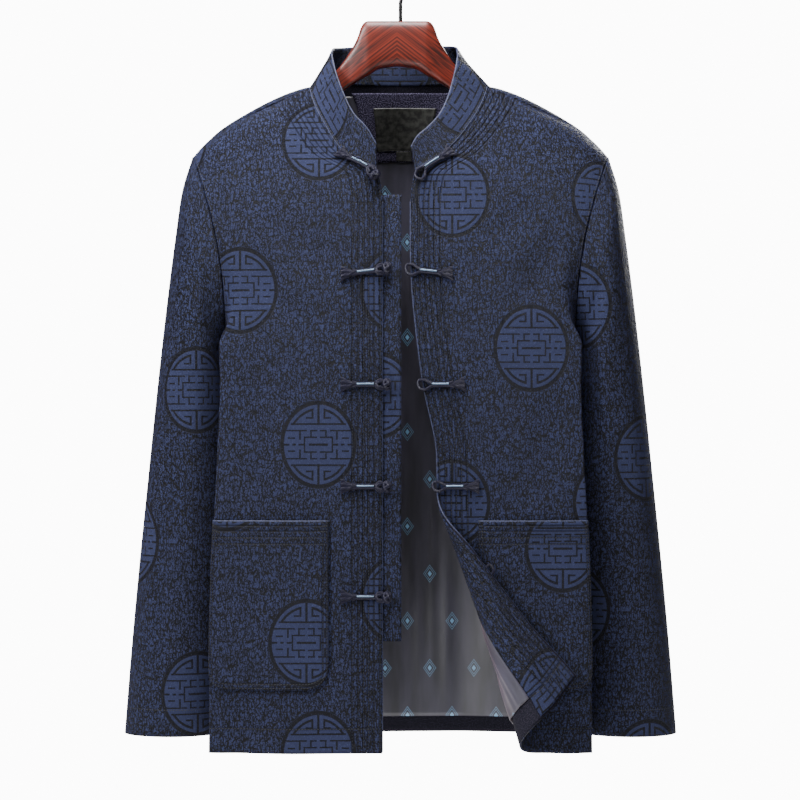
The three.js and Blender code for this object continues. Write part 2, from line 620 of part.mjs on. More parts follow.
const FRONT_RIGHT_S = [0, 0.09, 0.18, 0.275, 0.34, 0.42, 0.52, 0.62, 0.7, 0.765, 0.8, 0.84, 0.89, 0.945, 1];
const FRONT_LEFT_S = [0, 0.012, 0.06, 0.11, 0.155, 0.2, 0.25, 0.275, 0.33, 0.385, 0.44, 0.5, 0.57,
  0.65, 0.72, 0.765, 0.8, 0.84, 0.89, 0.945, 1];
const BACK_HALF_S = [0, 0.04, 0.08, 0.13, 0.2, 0.27, 0.325, 0.38, 0.44];
const BACK_S = [...BACK_HALF_S, 0.5, ...BACK_HALF_S.slice().reverse().map((s) => 1 - s)];
const UPPER_FRONT_T = [...frontKnots.slice(4, 9), ...halved(frontKnots, 9)];
const FRONT_RIGHT_T = merged(evenly(8, 0, frontKnots[4]), pocketT(RIGHT), UPPER_FRONT_T);
const FRONT_LEFT_T = merged(evenly(16, 0, frontKnots[4]), pocketT(LEFT), UPPER_FRONT_T,
  [frontT(LEFT, TURNED_TOP), frontT(LEFT, HEM_Z + HEM_TURN)]);
const BACK_T = merged(evenly(7, 0, backKnots[4]), backKnots.slice(5, 10), halved(backKnots, 10),
  [backT(BACK_LINING.hemZ)]);

const panels = {
  [RIGHT]: new Panel((s, t) => front(RIGHT, s, t), frontWallNormal(RIGHT), FRONT_RIGHT_S, FRONT_RIGHT_T,
    frontTrim(RIGHT)),
  [LEFT]: new Panel((s, t) => front(LEFT, s, t), frontWallNormal(LEFT), FRONT_LEFT_S, FRONT_LEFT_T,
    frontTrim(LEFT)),
  back: new Panel(back, backWallNormal, BACK_S, BACK_T, backTrim),
};

function buildBody() {
  addMesh('front_right', panels[RIGHT].wall(0, CLOTH), jacquard);
  addMesh('front_left', panels[LEFT].wall(0, CLOTH), jacquard);
  addMesh('back', panels.back.wall(0, CLOTH), jacquard);
}

// ---- Sleeves -------------------------------------------------------------------------------

// Angles of the points of each sleeve ring, from its top round the front.
const SLEEVE_ANGLES = [8, 22, 40, 65, 90, 115, 140, 160, 180, 200, 220, 245, 270, 295, 320, 338, 352];
const SLEEVE_CLEAR = 0.6;
const SLEEVE_RADIUS = 50;

function sleeveRing(side, row) {
  const [outer, inner] = [row.outer, row.inner];
  return SLEEVE_ANGLES.map((angle) => {
    const a = radians(angle);
    const drop = (1 - Math.cos(a)) / 2;
    return new THREE.Vector3(
      side * lerp(outer[0], inner[0], drop),
      row.midY - row.halfDepth * Math.sin(a),
      lerp(outer[1], inner[1], drop),
    );
  });
}

// Sinks a ring's points towards its middle where creases cross it.
function foldedRing(side, ring, number) {
  const middle = ring.reduce((sum, p) => sum.add(p), new THREE.Vector3()).divideScalar(ring.length);
  return ring.map((point, j) => {
    const depth = SLEEVE_FOLDS[side].reduce((sum, fold) => {
      const round = radians(SLEEVE_ANGLES[j] - fold.angle) * SLEEVE_RADIUS;
      const along = (number - fold.ring) / fold.long;
      return sum + fold.depth * Math.exp(-((round / fold.wide) ** 2) - along ** 2);
    }, 0) * Math.min(1, number);
    return point.clone().add(middle.clone().sub(point).setLength(depth));
  });
}

function buildSleeve(name, side) {
  const sides = SLEEVE_ANGLES.length;
  const control = [
    SLEEVE_ANGLES.map((angle) => {
      const [x, y, z] = armhole(angle);
      return new THREE.Vector3(side * (x + SLEEVE_CLEAR), y, z);
    }),
    ...SLEEVE_RINGS.map((row) => sleeveRing(side, row)),
  ];
  const knots = control.map((_, i) => i / (control.length - 1));
  const stations = [0, 0.03, 0.06, 0.1, 0.15, ...evenly(10, 0.22, 1)];
  const rings = stations.map((k) => {
    const ring = SLEEVE_ANGLES.map((_, j) => {
      const [x, y, z] = smoothPoint(knots, control.map((points) => points[j].toArray()), k);
      return new THREE.Vector3(x, y, z);
    });
    return foldedRing(side, ring, k * (control.length - 1));
  });
  const inner = rings.map((ring, i) => ring.map((point, j) => {
    const next = rings[Math.min(i + 1, rings.length - 1)][j];
    const last = rings[Math.max(i - 1, 0)][j];
    const down = next.clone().sub(last);
    const round = ring[(j + 1) % sides].clone().sub(ring[(j + sides - 1) % sides]);
    const normal = down.cross(round).normalize().multiplyScalar(-side * CLOTH);
    if (i === 0) normal.x = 0;
    return point.clone().add(normal.setLength(CLOTH));
  }));
  addMesh(name, tubeBetween(rings, inner), jacquard);
}

// ---- Collar --------------------------------------------------------------------------------

// Points of the neckline, at the borders of the fronts and the back.
function neckline() {
  const ofFront = (side) => panels[side].points
    .filter((_, i) => panels[side].tValues[i] >= frontKnots[10] - 1e-9).map((line) => line[0].clone());
  const top = panels.back.points[panels.back.points.length - 1];
  const ofBack = top.filter((_, j) => BACK_S[j] > BACK_COLUMNS[2] + 1e-9 && BACK_S[j] < 1 - BACK_COLUMNS[2] - 1e-9);
  return [...ofFront(RIGHT), ...ofBack.map((p) => p.clone()), ...ofFront(LEFT).reverse()];
}

function buildCollar() {
  const seam = neckline();
  const knots = chordKnots(seam.map((p) => p.toArray()));
  const edgeKnots = COLLAR_EDGE.map((row) => row.at);
  const edgePoints = COLLAR_EDGE.map((row) => [row.x, row.y, row.z]);
  const edgeAt = (k) => new THREE.Vector3(...smoothPoint(edgeKnots, edgePoints, k));
  const rows = [0, 0.34, 0.67, 1];
  const outer = rows.map((row) => seam.map((low, j) => {
    const high = edgeAt(knots[j]);
    const base = low.clone().add(high.clone().sub(low).setLength(COLLAR_LIFT));
    return base.lerp(high, row);
  }));
  const inner = outer.map((line, i) => line.map((point, j) => {
    const along = line[Math.min(j + 1, line.length - 1)].clone().sub(line[Math.max(j - 1, 0)]);
    const up = outer[rows.length - 1][j].clone().sub(outer[0][j]);
    return point.clone().add(along.cross(up).setLength(COLLAR_CLOTH));
  }));
  addMesh('collar', wallBetween(outer, inner), jacquard);
}

// ---- What lies on the panels ---------------------------------------------------------------

const insideBody = -(CLOTH + LIE_GAP);

// Patch pocket: the ends of its two lowest lines are drawn in and up, which rounds the corners.
function buildPocket(name, side) {
  const panel = panels[side];
  const [t0, t1, , t3] = pocketT(side);
  const places = panel.patch(POCKET.innerS, POCKET.outerS, t0, t3);
  const rounded = places.map((line, i) => line.map(([s, t], j) => {
    const fromEnd = Math.min(j, line.length - 1 - j);
    const way = j === fromEnd ? 1 : -1;
    if (i === 0 && fromEnd === 0) return [s + way * POCKET.drawnIn, lerp(t0, t1, 0.8)];
    if (i === 0 && fromEnd === 1) return [s, lerp(t0, t1, 0.15)];
    if (i === 1 && fromEnd === 0) return [s + way * POCKET.drawnIn / 2, t + (t1 - t0) * 0.5];
    return [s, t];
  }));
  addMesh(name, panel.wallOn(rounded, POCKET.lift + CLOTH, CLOTH), jacquard);
}

function buildUnderlap() {
  const { top, bottom, hiddenS, free } = UNDERLAP;
  const panel = panels[RIGHT];
  const heights = linesBetween(panel.tValues, frontT(RIGHT, bottom), frontT(RIGHT, top));
  const across = [...linesBetween(panel.sValues, 0, hiddenS).reverse(), null];
  const grid = (lift) => heights.map((t) => across.map((s) => {
    const { point, normal } = panel.at(s ?? 0, t);
    point.addScaledVector(normal, -lift);
    if (s === null) point.x = -free;
    return point;
  }));
  const standOff = CLOTH + SEAM_GAP;
  addMesh('underlap', wallBetween(grid(standOff), grid(standOff + CLOTH)), jacquard);
}

function buildTurnedCorner() {
  const panel = panels[LEFT];
  const top = frontT(LEFT, TURNED_TOP);
  addMesh('facing_front_left', panel.wallOn(
    panel.patch(FACING.fromS, FACING.toS, 0.004, top), insideBody, LINING), jacquard);
  addMesh('lining_front_left', panel.wallOn(
    panel.patch(FACING.toS + 0.002, FACING.liningS, frontT(LEFT, HEM_Z + HEM_TURN), top),
    insideBody, LINING), satin);
}

function buildBackLining() {
  const { sideS, hemZ } = BACK_LINING;
  addMesh('lining_back', panels.back.wallOn(
    panels.back.patch(sideS, 1 - sideS, backT(hemZ), backKnots[12]), insideBody, LINING), satin);
}

function buildNeckPieces() {
  const piece = (name, area, level, material) => {
    const [t0, t1] = [backT(area.bottom), backT(area.top)];
    const places = panels.back.patch(backS(area.left, t0), backS(area.right, t0), t0, t1);
    const out = insideBody - level * (LINING + LIE_GAP);
    addMesh(name, panels.back.wallOn(places, out, LINING), material);
  };
  piece('neck_facing', NECK_FACING, 1, jacquard);
  piece('neck_label', NECK_LABEL, 2, labelCloth);
  piece('size_tag', SIZE_TAG, 2, labelCloth);
}

// ---- Frogs ---------------------------------------------------------------------------------

const edgeX = (side, t) => side * frontFlat(side, 0, t).x;

// Routes give the point and outward normal of a front at u from its edge and v above the row.
function rowRoute(side, z, setOut) {
  return (along, v) => {
    const u = along - setOut;
    const t = frontT(side, z + v);
    const held = Math.max(u, 0.2);
    const sAt = (distance) => solve((k) => side * frontFlat(side, k, t).x, edgeX(side, t) + distance, 0, 0.7);
    const { point, normal } = panels[side].at(sAt(held), t);
    if (u < held) {
      const inwards = point.clone().sub(panels[side].at(sAt(3), t).point).normalize();
      point.addScaledVector(inwards, held - u);
    }
    return { point, normal };
  };
}

function necklineRoute(side) {
  const ts = evenly(30, frontKnots[10], 1);
  const line = ts.map((t) => panels[side].at(NECK_FROG_S, t).point);
  const sums = line.map((_, i) => line.slice(0, i).reduce((sum, p, k) => sum + p.distanceTo(line[k + 1]), 0));
  const tAt = (u) => smoothValue(sums, ts, u);
  const along = (u) => {
    const held = Math.max(u, 0);
    const { point, normal } = panels[side].at(NECK_FROG_S, tAt(held));
    const start = line[0].clone().sub(line[2]).normalize();
    return { point: point.addScaledVector(start, held - u), normal };
  };
  return (u, v) => {
    const { point, normal } = along(u);
    const up = new THREE.Vector3().crossVectors(normal, along(u + 1).point.sub(along(u - 1).point));
    return { point: point.addScaledVector(up.normalize(), side * v), normal };
  };
}

const FROG_SIDES = 8;
const STRAND_SIDES = 6;

function ellipseRing(centre, up, out, high, thick, sides) {
  return evenly(sides + 1).slice(0, -1).map((k) => centre.clone()
    .addScaledVector(up, high * Math.cos(2 * Math.PI * k))
    .addScaledVector(out, thick * Math.sin(2 * Math.PI * k)));
}

// One ring of a frog's cord: centred apart from the row, lying `lift` off the cloth.
function cordRing(route, u, apart, high, thick, lift, sides) {
  return evenly(sides + 1).slice(0, -1).map((k) => {
    const a = 2 * Math.PI * k;
    const { point, normal } = route(u, apart + high * Math.cos(a));
    return point.addScaledVector(normal, lift + thick + thick * Math.sin(a));
  });
}

const profileLoft = (route, profile, lift) =>
  loft(profile.map(({ u, high, thick }) => cordRing(route, u, 0, high, thick, lift, FROG_SIDES)));

const strandLoft = (route, way, lift) => loft(LOOP_STRAND.map(({ u, apart, round }) =>
  cordRing(route, u, way * apart, round, round, lift, STRAND_SIDES)));

function buildFrogs() {
  const rightRoutes = [necklineRoute(RIGHT), ...FROG_ROWS.map(({ z }) => rowRoute(RIGHT, z, 0))];
  const leftRoutes = [necklineRoute(LEFT), ...FROG_ROWS.map(({ z, loopOut }) => rowRoute(LEFT, z, loopOut))];
  rightRoutes.forEach((route, i) => {
    const lift = i === 0 ? NECK_FROG_LIFT : FROG_LIFT;
    addMesh(`frog_knot_${i + 1}`, profileLoft(route, KNOT_PROFILE, lift), frogCord);
  });
  leftRoutes.forEach((route, i) => {
    const lift = [NECK_FROG_LIFT, FROG_LIFT, FROG_LIFT, ROLLED_FROG_LIFT, ROLLED_FROG_LIFT][i];
    addMesh(`frog_loop_${i + 1}`, joinAll([
      strandLoft(route, 1, lift), strandLoft(route, -1, lift), profileLoft(route, LOOP_STEM, lift),
    ]), frogCord);
  });
}

// ---- Hanger --------------------------------------------------------------------------------

const WOOD_SIDES = 12;

function buildHanger() {
  const halves = [
    ...HANGER_SECTIONS.slice(1).reverse().map((row) => ({ ...row, x: -row.x })),
    ...HANGER_SECTIONS,
  ];
  const rings = halves.map(({ x, top, bottom, depth }) => evenly(WOOD_SIDES + 1).slice(0, -1).map((k) => {
    const a = 2 * Math.PI * (k + 0.5 / WOOD_SIDES);
    const squared = (value) => Math.sign(value) * Math.abs(value) ** 0.9;
    const shift = HANGER_MIDDLE * (1 - Math.abs(x) / HANGER_SECTIONS[HANGER_SECTIONS.length - 1].x);
    return new THREE.Vector3(x + shift, depth * squared(Math.sin(a)),
      (top + bottom) / 2 + (top - bottom) / 2 * squared(Math.cos(a)) / squared(Math.cos(Math.PI / WOOD_SIDES)));
  }));
  addMesh('hanger_wood', loft(rings), wood);
}

class HookLine extends THREE.Curve {
  getPoint(k) {
    const reach = HOOK.radius + HOOK.wire / 2;
    const arcStart = new THREE.Vector3(
      reach * Math.cos(radians(HOOK.from)), 0, -HOOK.radius + reach * Math.sin(radians(HOOK.from)));
    const bend = new THREE.CubicBezierCurve3(
      new THREE.Vector3(0, 0, HOOK.bend), new THREE.Vector3(0, 0, HOOK.bend + 8),
      arcStart.clone().add(new THREE.Vector3(-6, 0, -5)), arcStart);
    if (k < 0.12) return new THREE.Vector3(0, 0, lerp(HOOK.foot, HOOK.bend, k / 0.12));
    if (k < 0.3) return bend.getPoint((k - 0.12) / 0.18);
    const a = radians(lerp(HOOK.from, HOOK.to, (k - 0.3) / 0.7));
    return new THREE.Vector3(reach * Math.cos(a), 0, -HOOK.radius + reach * Math.sin(a));
  }
}

function buildHook() {
  const line = new HookLine();
  const stations = [0, 0.12, 0.18, 0.24, ...evenly(13, 0.3, 1)];
  const rings = stations.map((k) => {
    const point = line.getPoint(k);
    const along = line.getPoint(Math.min(k + 0.01, 1)).sub(line.getPoint(Math.max(k - 0.01, 0))).normalize();
    const across = new THREE.Vector3(along.z, 0, -along.x);
    return ellipseRing(point, across, new THREE.Vector3(0, 1, 0), HOOK.wire / 2, HOOK.wire / 2, 10);
  });
  addMesh('hanger_hook', loft(rings), darkSteel);
}

buildBody();
buildSleeve('sleeve_right', RIGHT);
buildSleeve('sleeve_left', LEFT);
buildCollar();
buildPocket('pocket_right', RIGHT);
buildPocket('pocket_left', LEFT);
buildUnderlap();
buildTurnedCorner();
buildBackLining();
buildNeckPieces();
buildFrogs();
buildHanger();
buildHook();

jacket.name = 'tang_jacket_on_hanger';
export default jacket;
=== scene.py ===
"""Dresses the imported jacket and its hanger: cloth shells, linings, frog closures, stitching,
hanger and stage. Tables are in millimetres, in the frame's axes; meshes are in metres."""

import math

import bmesh
import bpy
import numpy as np
from mathutils import Matrix, Vector


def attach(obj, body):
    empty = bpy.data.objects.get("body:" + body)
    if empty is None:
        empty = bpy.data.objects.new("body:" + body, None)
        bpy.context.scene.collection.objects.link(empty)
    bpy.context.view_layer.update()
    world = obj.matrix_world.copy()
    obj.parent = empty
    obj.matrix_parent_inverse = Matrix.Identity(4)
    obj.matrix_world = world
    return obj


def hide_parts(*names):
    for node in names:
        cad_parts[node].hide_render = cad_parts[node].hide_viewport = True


bl_info = {
    "name": "Tang jacket on a hanger",
    "version": (1, 0, 0),
    "blender": (4, 5, 0),
    "location": "View3D > Sidebar > Jacket",
    "description": "Builds a stand-collar jacket with frog closures on a wooden hanger",
    "category": "Object",
}

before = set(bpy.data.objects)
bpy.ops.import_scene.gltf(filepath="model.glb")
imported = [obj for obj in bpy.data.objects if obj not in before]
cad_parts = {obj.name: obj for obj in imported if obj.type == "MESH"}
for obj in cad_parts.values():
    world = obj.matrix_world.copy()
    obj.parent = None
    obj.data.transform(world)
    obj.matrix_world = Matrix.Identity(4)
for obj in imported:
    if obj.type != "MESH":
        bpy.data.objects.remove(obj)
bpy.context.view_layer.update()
MM = 0.001
RIGHT, LEFT = -1, 1


def table(columns, *rows):
    """A table's rows, each as a dictionary by the names of its columns."""
    return [dict(zip(columns.split(), row)) for row in rows]


# ---- Sizes, in millimetres -----------------------------------------------------------------

HEM_Z, UNDERARM_Z = -885, -436
SEAM_GAP = 0.4
# Width and length by which a panel's grid is counted out.
FRONT_SIZE, BACK_SIZE, SLEEVE_SIZE = (250, 800), (440, 790), (300, 660)
# The left front's grid is finer over its rolled part: its share, width and spacing.
ROLLED_GRID = {"share": 0.56, "wide": 140, "spacing": 2.4}
ARMHOLE = {"tip_x": 234, "bottom_x": 196, "top_z": -223, "half_depth": 48,
           "hollow_front": 13, "hollow_back": 10}

# Sections of a front from hem to shoulder seam, x outwards. The rim is a point of the side seam
# or, given as an angle, of the armhole.
FRONT_SECTIONS = table(
    "chest lip tuck rim",
    ((112, -68, -885), (211, -60, -885), (203, -38, -885), (196, 8, -885)),
    ((112, -68, -780), (210, -61, -780), (201, -38, -780), (193, 8, -780)),
    ((112, -67, -690), (208, -61, -690), (198, -38, -690), (190, 8, -690)),
    ((111, -66, -560), (202, -61, -560), (191, -38, -560), (184, 8, -560)),
    ((110, -65, -480), (199, -59, -480), (188, -36, -480), (183, 6, -480)),
    ((110, -64, -437), (200, -57, -437), (194, -33, -437), 180),
    ((110, -63, -416), (197, -56, -426), (193.5, -38, -429), 160),
    ((109, -62, -380), (187, -56, -406), (192, -44, -410), 140),
    ((108, -60, -335), (178, -56, -368), (190, -49, -372), 115),
    ((107, -57, -295), (178, -54, -322), (194, -51, -327), 90),
    ((112, -52, -257), (184, -49, -274), (203, -46, -281), 65),
    ((130, -43, -225), (194, -38, -232), (215, -34, -242), 40),
    ((145, -31, -194), (199, -26, -209), (221, -22, -222), 22),
    ((149, -18, -176), (200, -15, -198), (223, -13, -216), 13),
    ((150, -6, -167.5), (200, -6.5, -192), (223, -6.6, -212), 8),
)
FRONT_COLUMNS = [0, 0.42, 0.78, 0.88, 1]
# Rows of the sections at the underarm and at the foot of the neckline.
UNDERARM_ROW, NECK_ROW = 5, 10

# Front edge and neckline of each front, one row for each section above.
FRONT_EDGE = {
    RIGHT: [(20, -66, -885), (20, -66, -780), (20, -66, -690), (20, -66, -560), (20, -65, -480),
            (20, -64, -437), (20, -62, -410), (20, -60, -370), (20, -56, -320), (20, -52, -278),
            (25, -50, -245), (64, -42, -221), (87, -29, -186), (98, -17, -163), (103, -6, -146)],
    LEFT: [(13.5, -66, -885), (35.5, -66, -780), (41.3, -66, -690), (40, -66, -560), (25, -65, -480),
           (19, -64, -437), (16, -62, -410), (12.5, -60, -370), (11, -56, -320), (11, -52, -278),
           (15, -50, -247), (52, -43, -219), (79, -31, -186), (92, -18, -163), (99, -6, -145)],
}

# Sections of half the back from hem to shoulder seam, x outwards.
BACK_SECTIONS = table(
    "rim corner blade nape spine",
    ((196, 8, -885), (188, 58, -884), (108, 76, -883), (54, 78.5, -883), (0, 79, -883)),
    ((193, 8, -780), (185, 58, -780), (108, 75, -780), (54, 77.5, -780), (0, 78, -780)),
    ((190, 8, -690), (181, 57, -690), (108, 74, -690), (54, 76.5, -690), (0, 77, -690)),
    ((184, 8, -560), (177, 56, -560), (108, 72, -560), (54, 74.5, -560), (0, 75, -560)),
    ((183, 6, -480), (178, 52, -480), (108, 69, -480), (54, 72, -480), (0, 73, -480)),
    (180, (188, 44, -437), (108, 67, -437), (54, 70, -437), (0, 71, -437)),
    (200, (189, 48, -425), (110, 66, -410), (54, 69, -406), (0, 70, -405)),
    (220, (187, 51, -405), (112, 65, -375), (55, 68, -367), (0, 69, -365)),
    (245, (183, 54, -368), (114, 63, -335), (56, 66, -323), (0, 67, -320)),
    (270, (185, 54, -322), (116, 60, -295), (57, 63, -279), (0, 64, -275)),
    (295, (191, 48, -276), (118, 54, -254), (58, 59, -233), (0, 61, -229)),
    (320, (197, 37, -236), (119, 43, -211), (60, 54.5, -193), (0, 58, -190)),
    (338, (200, 22, -206), (118, 28, -178), (65, 49.5, -163), (0, 55.5, -161)),
    (350, (201, 9, -193.5), (113, 14, -156), (70, 45, -148), (0, 54, -147)),
    (360, (200.5, 0, -190.5), (107, 3, -144), (74, 40.5, -139.5), (0, 53, -139)),
    (368, (200, -6.5, -192), (103, -6, -146), (77, 36.5, -134.5), (0, 52, -134)),
)
BACK_COLUMNS = [0, 0.1, 0.27, 0.38, 0.5]

# Soft troughs: from and to are a fold's ends (x and z; on a front x is outwards), width is half
# its breadth and depth how far it sinks. A negative depth is a ridge.
FRONT_FOLDS = {
    RIGHT: table(
        "from to width depth",
        ((172, -325), (112, -430), 17, 3.4),
        ((150, -290), (66, -366), 22, 2),
        ((180, -440), (160, -640), 17, 2.6),
        ((122, -760), (114, -1010), 26, -2.2),
        ((176, -770), (180, -1000), 17, 3),
    ),
    LEFT: table(
        "from to width depth",
        ((176, -310), (126, -402), 19, 3),
        ((158, -270), (92, -330), 18, 2.4),
        ((170, -470), (150, -610), 19, 2.2),
        ((158, -790), (162, -1000), 15, 3.4),
        ((182, -700), (186, -960), 12, -2),
    ),
}
BACK_FOLDS = table(
    "from to width depth",
    ((-174, -316), (-116, -432), 19, 3.8),
    ((168, -322), (124, -414), 17, 3.4),
    ((-148, -470), (-130, -690), 24, 3),
    ((154, -500), (132, -740), 21, 3.2),
    ((-92, -600), (-80, -1080), 30, -3),
    ((72, -660), (64, -1060), 27, -2.6),
    ((-142, -750), (-148, -1010), 19, 3.4),
    ((30, -240), (10, -430), 24, 2),
    ((-24, -640), (-20, -1060), 26, 2.6),
)
FOLD_FADE = 0.1

# The left front's lower corner is rolled over the outside, about a slanting line.
ROLL = {"top_x": 42.5, "top_z": -591.5, "slant": 23.4, "turn": 215,
        "start_radius": 6.8, "growth": 0.02, "spread": 0.0002, "shorten": 0.04}

# Sleeve rings: outer and inner line, half depth and middle, from armhole to cuff.
SLEEVE_RINGS = table(
    "outer inner half_depth mid_y",
    ((246, -262), (198.5, -444), 52, 0),
    ((254, -315), (199.5, -453), 54, 2),
    ((262, -375), (198, -466), 54, 4),
    ((270, -440), (194, -488), 53, 7),
    ((278, -510), (191, -530), 52, 10),
    ((286, -585), (190, -594), 50, 12),
    ((296, -680), (194, -684), 46, 14),
    ((305, -775), (199, -777), 42, 15),
    ((313, -874), (205, -874), 38, 15),
)
SLEEVE_CLEAR = 0.6
SLEEVE_RADIUS = 50

# Sleeve creases: middle by ring number and angle round the ring, half length in rings, half
# breadth and depth.
SLEEVE_FOLDS = {
    RIGHT: table(
        "ring angle long wide depth",
        (1.3, 118, 1.1, 17, 3.4),
        (2.9, 80, 1.6, 15, 2.4),
        (5, 124, 1.8, 18, 3),
        (7, 66, 1.6, 16, 2.4),
        (1.6, 238, 1.3, 18, 3.6),
        (4.3, 262, 2, 17, 3),
        (7.2, 228, 1.5, 16, 2.4),
    ),
    LEFT: table(
        "ring angle long wide depth",
        (1.5, 112, 1.2, 18, 3.2),
        (3.4, 126, 1.5, 16, 2.8),
        (5.4, 78, 2.1, 17, 2.6),
        (7.5, 120, 1.4, 15, 2.6),
        (1.4, 246, 1.2, 17, 3.4),
        (3.6, 230, 1.7, 18, 3),
        (6.4, 264, 2, 16, 2.8),
    ),
}

# The collar's free edge, by its share of the way along the neckline from the right front end.
COLLAR_EDGE = [
    (0, (-27, -46, -214)), (0.039, (-38, -43, -195)), (0.085, (-53, -38, -178)),
    (0.166, (-67, -27, -148)), (0.218, (-74.5, -16, -125)), (0.256, (-78.5, 0, -105)),
    (0.3, (-77, 16, -98)), (0.352, (-67, 33, -95)), (0.42, (-39, 46, -92)), (0.5, (0, 50, -91)),
    (0.58, (37, 46, -91.5)), (0.648, (58, 32, -93)), (0.7, (65, 12, -98)), (0.744, (65, -6, -108)),
    (0.762, (63, -18, -123)), (0.782, (60, -22, -136)), (0.834, (53, -31, -160)),
    (0.875, (44, -38, -179)), (0.915, (31, -42, -194)), (0.96, (19, -46, -205)), (1, (12, -47, -217)),
]
COLLAR_TUCK, COLLAR_GRID = 1.2, (240, 22)

UNDERLAP = {"top": -281, "bottom": -762, "hidden_s": 0.18, "free": -1}
POCKET = {"top": -630, "bottom": -815, "inner_s": 0.275, "outer_s": 0.765, "wide": 112, "high": 186,
          "round": 26, "lift": 0.7, "gape": 2.2}
FACING = {"from_s": 0.012, "to_s": 0.25, "lining_s": 0.72, "top": -560, "hem_turn": 29}
BACK_LINING = {"side_s": 0.08, "hem": -865, "top": -147}
# Loose folds of the linings: place and half breadth in s, ends in t, and how far they stand off.
FRONT_LINING_FOLDS = table(
    "s wide from to high",
    (0.3, 0.012, -0.1, 0.3, 1.6),
    (0.335, 0.01, 0, 0.36, 1.3),
    (0.39, 0.016, -0.1, 0.24, 2),
    (0.47, 0.02, 0, 0.4, 1.6),
)
BACK_LINING_FOLDS = table(
    "s wide from to high",
    (0.545, 0.012, 0.05, 0.32, 1.1),
    (0.583, 0.009, 0.1, 0.42, 0.8),
    (0.62, 0.014, 0, 0.3, 1.2),
    (0.52, 0.01, 0.3, 0.95, 0.9),
    (0.44, 0.015, 0.1, 0.6, 1.1),
    (0.3, 0.02, 0, 0.5, 2),
    (0.72, 0.018, 0.1, 0.55, 2),
)
NECK_FACING = {"left": -44, "right": 53, "top": -143, "bottom": -222}
NECK_LABEL = {"left": -28, "right": 37, "top": -160, "bottom": -209}
SIZE_TAG = {"left": -5, "right": 13, "top": -210, "bottom": -221}

# Where each piece's first medallion or lozenge lies, in its own grain coordinates.
PATTERN_AT = {
    "front_right": (-3, -376), "front_left": (57, -270), "back": (0, -320),
    "sleeve_right": (-226, -486), "sleeve_left": (279, -562), "underlap": (-26, -492),
    "pocket_right": (-103, -763), "pocket_left": (178, -660), "facing_front_left": (53, -872),
    "collar": (95, 28), "neck_facing": (0, -60), "lining_front_left": (18, -589),
    "lining_back": (18, -589),
}

# The fabric's pattern, in millimetres. A dash row: size of its cells, share that its line takes,
# and the noise that breaks it up.
WEAVE_DASHES = table(
    "cell line gap_scale gap_at",
    ((2.8, 7.5), 0.17, 1.0, 0.42),
    ((5.8, 26.0), 0.09, 1.6, 0.46),
    ((2.1, 4.0), 0.2, 0.8, 0.5),
    ((6.4, 2.8), 0.13, 1.2, 0.51),
)
RIB_PITCH, PICK_PITCH = 0.9, 0.7
MEDALLION_COVER = 0.85
LOZENGE = {"columns": 26, "repeat": 110, "half_wide": 7.5, "half_high": 10.5}

# Dark bars of a medallion's fret in one quarter of it, as shares of its half width and height.
FRET_BARS = table(
    "x y",
    ((0, 0.25), (0, 0.025)), ((0.035, 0.38), (0.15, 0.185)), ((0.345, 0.385), (0, 0.185)),
    ((0.035, 0.22), (0.3, 0.335)), ((0.175, 0.215), (0.185, 0.335)), ((0.3, 0.88), (0.3, 0.335)),
    ((0.46, 0.505), (0.11, 0.3)), ((0.385, 0.52), (0, 0.022)), ((0.59, 0.68), (0, 0.022)),
    ((0.76, 0.9), (0, 0.022)), ((0.61, 0.8), (0.13, 0.165)), ((0, 0.72), (0.445, 0.485)),
    ((0, 0.03), (0.485, 0.95)), ((0.13, 0.18), (0.6, 0.81)), ((0.13, 0.33), (0.585, 0.625)),
)
RING_DARK, CAP_LINE, CAP_LINE_WIDTH, CAP_FROM, CAP_GAP = 0.9, 0.8, 0.055, 0.445, 0.13

# Height of each frog's row and how far its loop is set out past the front edge.
FROG_ROWS = table("z loop_out", (-361, 0), (-480, 0), (-592, 0), (-713, 5))
NECK_FROG_S = 0.03
FROG_LIFT, NECK_FROG_LIFT, ROLLED_FROG_LIFT = 0.35, 0.9, 1.4
CORD, CORD_SIDES = 1.65, 8
KNOT = {"middle": -5.2, "radius": 4.5, "cord": 1.95, "turns": 3, "waves": 4, "tilt": 50,
        "bulge": 0.7, "squash": 0.8}
WRAP = {"from": 9.5, "to": 28, "turns": 26}
TAIL = {"from": 27.5, "long": 18.2, "neck": 0.8}

# Petals of a frog's tail: how far each fans out, how high it lies and how wide it ends.
TAIL_PETALS = table(
    "spread high wide",
    (6.1, 0.3, 2.3), (3.3, 1.3, 2.0), (0.4, 0.5, 2.2), (-2.7, 1.5, 2.1), (-6.0, 0.2, 2.4),
)

# Distances of the stitch rows: from the front edge, up from the hem, in from a pocket's border
# and down from its top edge.
PLACKET_ROWS = [2.5, 9, 15, 20.5, 26.5, 33]
HEM_ROW = 27
# Rows of the collar's grid that are stitched.
COLLAR_ROWS = (2, 19)
POCKET_BORDER_ROWS = [2, 6.5]
POCKET_TOP_ROWS = [5, 11, 18, 25]
# Heights between which the front edges and the facing are stitched, and the armhole row's s.
PLACKET_SPAN, FACING_SPAN, ARMHOLE_ROW_S = (-880, -262), (-878, -600), 0.972
STITCH = {"pitch": 3.4, "long": 2.3, "wide": 0.52, "high": 0.3, "lift": 0.1}
# The trim layer keeps each kind of row in a stretch of its own, so that one shader reads them all.
TRIM_NONE, TRIM_HEM, TRIM_POCKET = 500, 100, 2000

